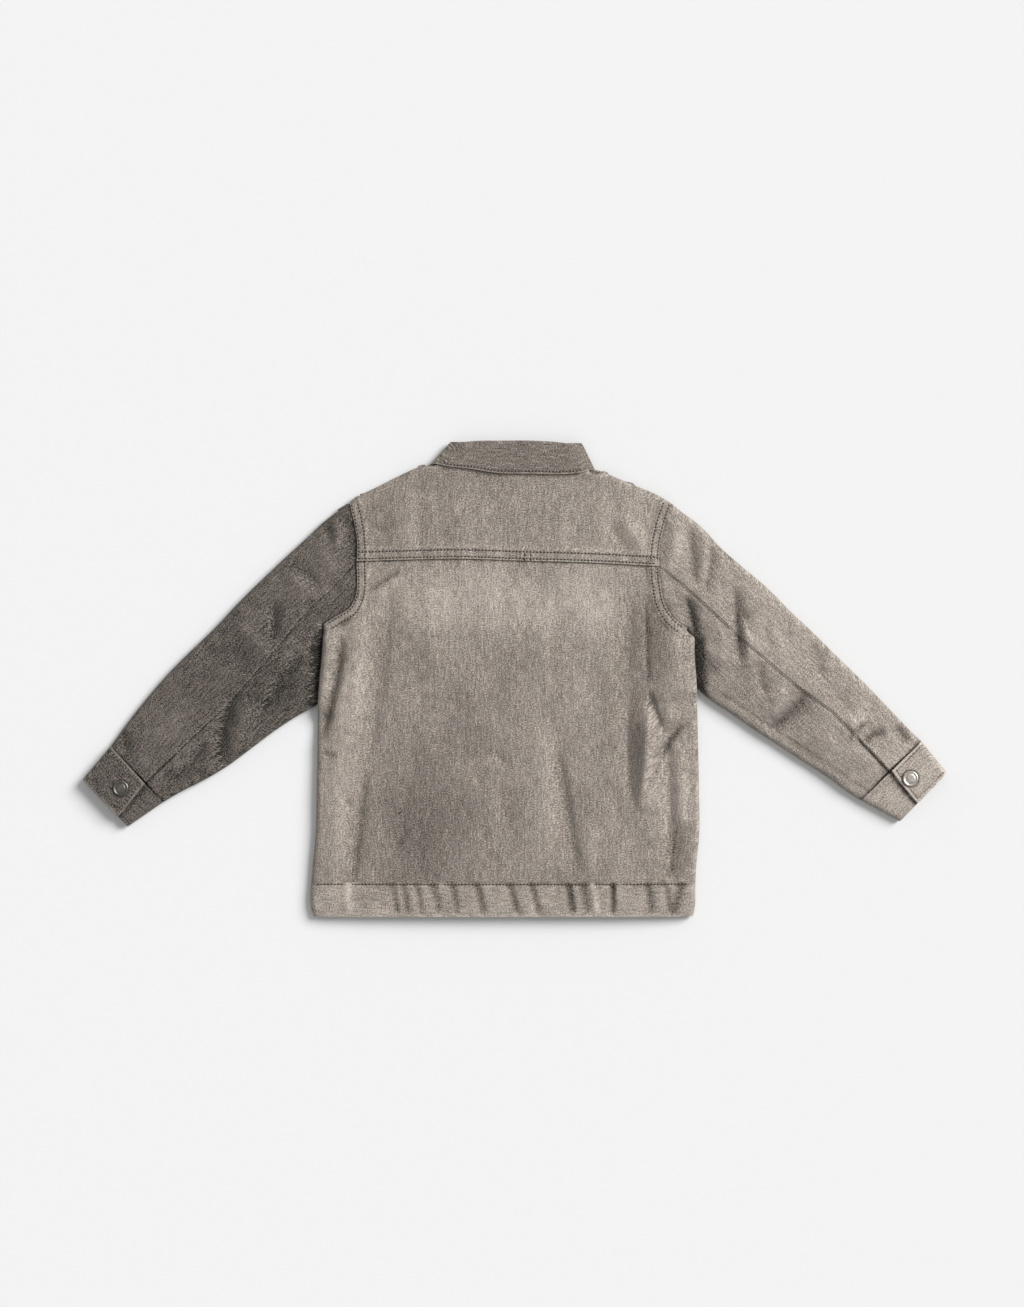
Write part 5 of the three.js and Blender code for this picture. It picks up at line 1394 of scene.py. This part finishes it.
class JACKET_OT_collar(Operator):
    """Turned-down collar"""
    bl_idname = "jacket.collar"
    bl_label = "Collar"

    def execute(self, context):
        grid = collar_grid()
        outer, inner = thickened(grid, WALL)
        xy = grid[..., :2]
        shade = BASE_SHADE["collar"] + mottles(xy, "collar")
        s = np.linspace(0, 1, grid.shape[1])[None]      # from the neck seam to the free edge
        rubbed_edge, sewn_row = smooth((s - 0.965) / 0.03), bell(s - 0.94, 0.012)
        shade = shade + 0.26 * rubbed_edge - 0.10 * sewn_row + 0.03 * bell(s - 0.48, 0.05)
        collar = cloth_wall("collar_fall", outer, inner, shade, 90)
        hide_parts("collar")
        return {"FINISHED"}


class JACKET_OT_sleeves(Operator):
    """Two-piece sleeves"""
    bl_idname = "jacket.sleeves"
    bl_label = "Sleeves"

    def execute(self, context):
        for name, side in SIDES.items():
            upper, layer, under = sleeve_grids(name)
            grain = -45 if side["sign"] < 0 else 45
            relief = sleeve_relief(upper, name, "upper") * (layer > 0)
            outer, inner = wall_points(SLEEVE[name], upper, layer, WALL, relief)
            thing = cloth_wall(f"sleeve_upper_{name}_panel", outer, inner,
                               sleeve_shade(upper, name, "upper"), grain)
            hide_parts(f"sleeve_upper_{name}")
            relief = sleeve_relief(under, name, "under")
            outer, inner = wall_points(SLEEVE[name], under, 1.0, WALL, relief)
            thing = cloth_wall(f"sleeve_under_{name}_panel", outer, inner,
                               sleeve_shade(under, name, "under"), grain)
            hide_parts(f"sleeve_under_{name}")
        return {"FINISHED"}


class JACKET_OT_cuffs(Operator):
    """Cuffs with their overlapping flaps"""
    bl_idname = "jacket.cuffs"
    bl_label = "Cuffs"

    def execute(self, context):
        for name, side in SIDES.items():
            grid, layer, region, c, a, flap = cuff_grid(name)
            depth, on_top = a * CUFF_DEPTH, layer > 0
            past_flap = (c - flap) * CUFF_WIDTH
            rim = np.minimum(np.minimum(depth, CUFF_DEPTH - depth),
                             np.where(on_top, np.abs(past_flap), 99))
            relief = wrinkles(grid, 0.35) - 0.30 * bell(rim - CUFF_ROW, 0.9) + 0.5 * quarter(rim)
            relief = relief + 0.35 * ripple(c * CUFF_WIDTH + 0.3 * depth, 8, 71)
            outer, inner = wall_points(region, grid, layer, BAND_WALL, relief * on_top)
            shade = BASE_SHADE[name] + patches(SLEEVE_PATCHES[name], grid) + mottles(grid, "cuff")
            under = on_top & (c > flap)
            # Painted shadow of the flap's raised end on the under end beside it
            shade = shade - 0.8 * shade * under * bell(past_flap, 3.5)
            shade = shade + 0.20 * bell(rim - 0.8, 1.1) * ~under - 0.06 * bell(rim - CUFF_ROW, 1.0)
            from_snap = np.hypot(grid[..., 0] - side["snap"][0], grid[..., 1] - side["snap"][1])
            # Painted shadow in a ring round the snap's cap
            painted_snap_shadow = bell(from_snap - CUFF_SNAP["radius"] - 0.5, 1.1)
            shade = shade * (1 - 0.7 * painted_snap_shadow * on_top)
            grain = 45 if side["sign"] < 0 else -45
            thing = cloth_wall(f"cuff_{name}_band", outer, inner, shade, grain)
            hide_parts(f"cuff_{name}")
        return {"FINISHED"}


class JACKET_OT_stitching(Operator):
    """Rows of stitches along all seams"""
    bl_idname = "jacket.stitching"
    bl_label = "Stitching"

    def execute(self, context):
        sewn("yoke_seam", [on_body(part_of(offset_line(YOKE_LINE, d), 0.01, 0.99), "yoke")
                           for d in YOKE_ROWS])
        low, high = BAR_TACK_ENDS
        tacks = [np.linspace([x, low], [x + 0.4, high], 12) for x in BAR_TACKS]
        sewn("yoke_tacks", [on_body(tack, "yoke") + np.array([0, 0, 0.1]) for tack in tacks])
        for name, side in SIDES.items():
            hand = side["sign"]
            rows = []
            for d in STITCH_ROWS:
                hole = part_of(offset_line(side["hole_line"], -d * hand), 0.02, 0.97)
                upper = hole[:, 1] > YOKE_LEVEL
                for piece, keep in (("yoke", upper), ("back", ~upper)):
                    line = hole[keep]
                    if len(line) > 2:
                        rows.append(on_body(line, piece))
            sewn(f"armhole_{name}", rows)
            row = part_of(offset_line(side["seam_line"], STITCH_ROWS[0] * hand), 0.02, 0.985)
            sewn(f"sleeve_seam_{name}", [on_sleeve(row, name)], 0.6)
            run = np.linspace(0.08, 0.92, 60)
            ends = side["flap_end"]
            rows = [on_cuff(side, run * (lerp(*ends, a) - 0.03), a) for a in (0.08, 0.92)]
            rows.append(on_cuff(side, lerp(*ends, run) - 0.05, run))
            sewn(f"cuff_edge_{name}", rows, 0.7)
        x = np.linspace(side_x(LEFT, -205) + 7, side_x(RIGHT, -205) - 7, 300)
        line = np.stack([x, np.full_like(x, HEM_SEAM - HEM_ROW)], -1)
        sewn("hem_seam", [wall_points(BODY, line, 1.0, BAND_WALL, 0.55)[0]])
        faces = np.stack(thickened(collar_grid(), WALL))
        middle = faces.shape[1] // 2
        row = faces[faces[:, middle, -COLLAR_ROW, 2].argmax(), :, -COLLAR_ROW]
        sewn("collar_edge", [row[row[:, 2] > COLLAR_ROW_LEVEL]])
        return {"FINISHED"}


class JACKET_OT_snaps(Operator):
    """Snaps of the cuffs and of the front"""
    bl_idname = "jacket.snaps"
    bl_label = "Snaps"

    def execute(self, context):
        for name, side in SIDES.items():
            snap_cap(f"cuff_snap_{name}", side["snap"], CUFF_SNAP["foot"], CUFF_SNAP["radius"],
                     CUFF_SNAP["height"], CUFF_SNAP["groove"][name])
        for i in range(FRONT_SNAPS["count"]):
            y = FRONT_SNAPS["first"] - i * FRONT_SNAPS["pitch"]
            place = np.array([centre_x(y), y])
            snap_cap(f"front_snap_{i + 1}", place, float(body_floor(place)), FRONT_SNAPS["radius"],
                     FRONT_SNAPS["height"], under=True)
        return {"FINISHED"}


class JACKET_OT_stage(Operator):
    """Pale floor, soft studio light and the camera straight above"""
    bl_idname = "jacket.stage"
    bl_label = "Stage"

    def execute(self, context):
        colours, sizes = context.scene.jacket_colours, context.scene.jacket_sizes
        corners = np.array([[x * FLOOR_REACH, y * FLOOR_REACH, FLOOR_LEVEL]
                            for x, y in ((-1, -1), (1, -1), (1, 1), (-1, 1))])
        mesh = bpy.data.meshes.new("floor")
        mesh.from_pydata((corners * MM).tolist(), [], [(0, 1, 2, 3)])
        floor = bpy.data.objects.new("floor", mesh)
        context.scene.collection.objects.link(floor)
        mesh.materials.append(Nodes("floor").coat(Base_Color=(*colours.floor, 1), Roughness=0.9))

        world = bpy.data.worlds.new("studio")
        world.use_nodes = True
        background = world.node_tree.nodes["Background"].inputs
        background["Color"].default_value = (1.0, 1.0, 1.0, 1)
        background["Strength"].default_value = WORLD_STRENGTH
        context.scene.world = world
        context.scene.view_settings.view_transform = "Standard"
        for name, energy, angle, direction in SUNS:
            light = bpy.data.lights.new(name, "SUN")
            light.energy = energy
            light.angle = math.radians(angle)
            lamp = bpy.data.objects.new(name, light)
            x, y, z = direction
            lamp.rotation_euler = (math.atan2(math.hypot(x, y), z), 0, math.atan2(x, -y))
            context.scene.collection.objects.link(lamp)

        camera = bpy.data.cameras.new("camera")
        camera.sensor_fit = "VERTICAL"
        camera.sensor_height = 36
        camera.lens = camera.sensor_height * sizes.camera_height / (IMAGE[1] * MM)
        camera.clip_end = 50
        view = bpy.data.objects.new("camera", camera)
        view.location = (*IMAGE_CENTRE, sizes.camera_height)
        context.scene.collection.objects.link(view)
        context.scene.camera = view
        return {"FINISHED"}


class JACKET_PT_panel(Panel):
    """Sizes, colours and pieces of the jacket"""
    bl_idname = "JACKET_PT_panel"
    bl_label = "Denim jacket"
    bl_space_type = "VIEW_3D"
    bl_region_type = "UI"
    bl_category = "Jacket"

    def draw(self, context):
        for group in (context.scene.jacket_sizes, context.scene.jacket_colours):
            box = self.layout.box()
            for name in group.__annotations__:
                box.prop(group, name)
        for operator in OPERATORS:
            self.layout.operator(operator.bl_idname)


OPERATORS = (JACKET_OT_back, JACKET_OT_fronts, JACKET_OT_hem_band, JACKET_OT_collar, JACKET_OT_sleeves,
             JACKET_OT_cuffs, JACKET_OT_stitching, JACKET_OT_snaps, JACKET_OT_stage)
CLASSES = (JacketSizes, JacketColours, *OPERATORS, JACKET_PT_panel)


def register():
    for item in CLASSES:
        bpy.utils.register_class(item)
    bpy.types.Scene.jacket_sizes = PointerProperty(type=JacketSizes)
    bpy.types.Scene.jacket_colours = PointerProperty(type=JacketColours)


def unregister():
    del bpy.types.Scene.jacket_colours
    del bpy.types.Scene.jacket_sizes
    for item in reversed(CLASSES):
        bpy.utils.unregister_class(item)


def main():
    """Registers the add-on and builds the jacket piece by piece."""
    register()
    for operator in OPERATORS:
        getattr(bpy.ops.jacket, operator.bl_idname.split(".")[1])()


if __name__ == "__main__":
    main()
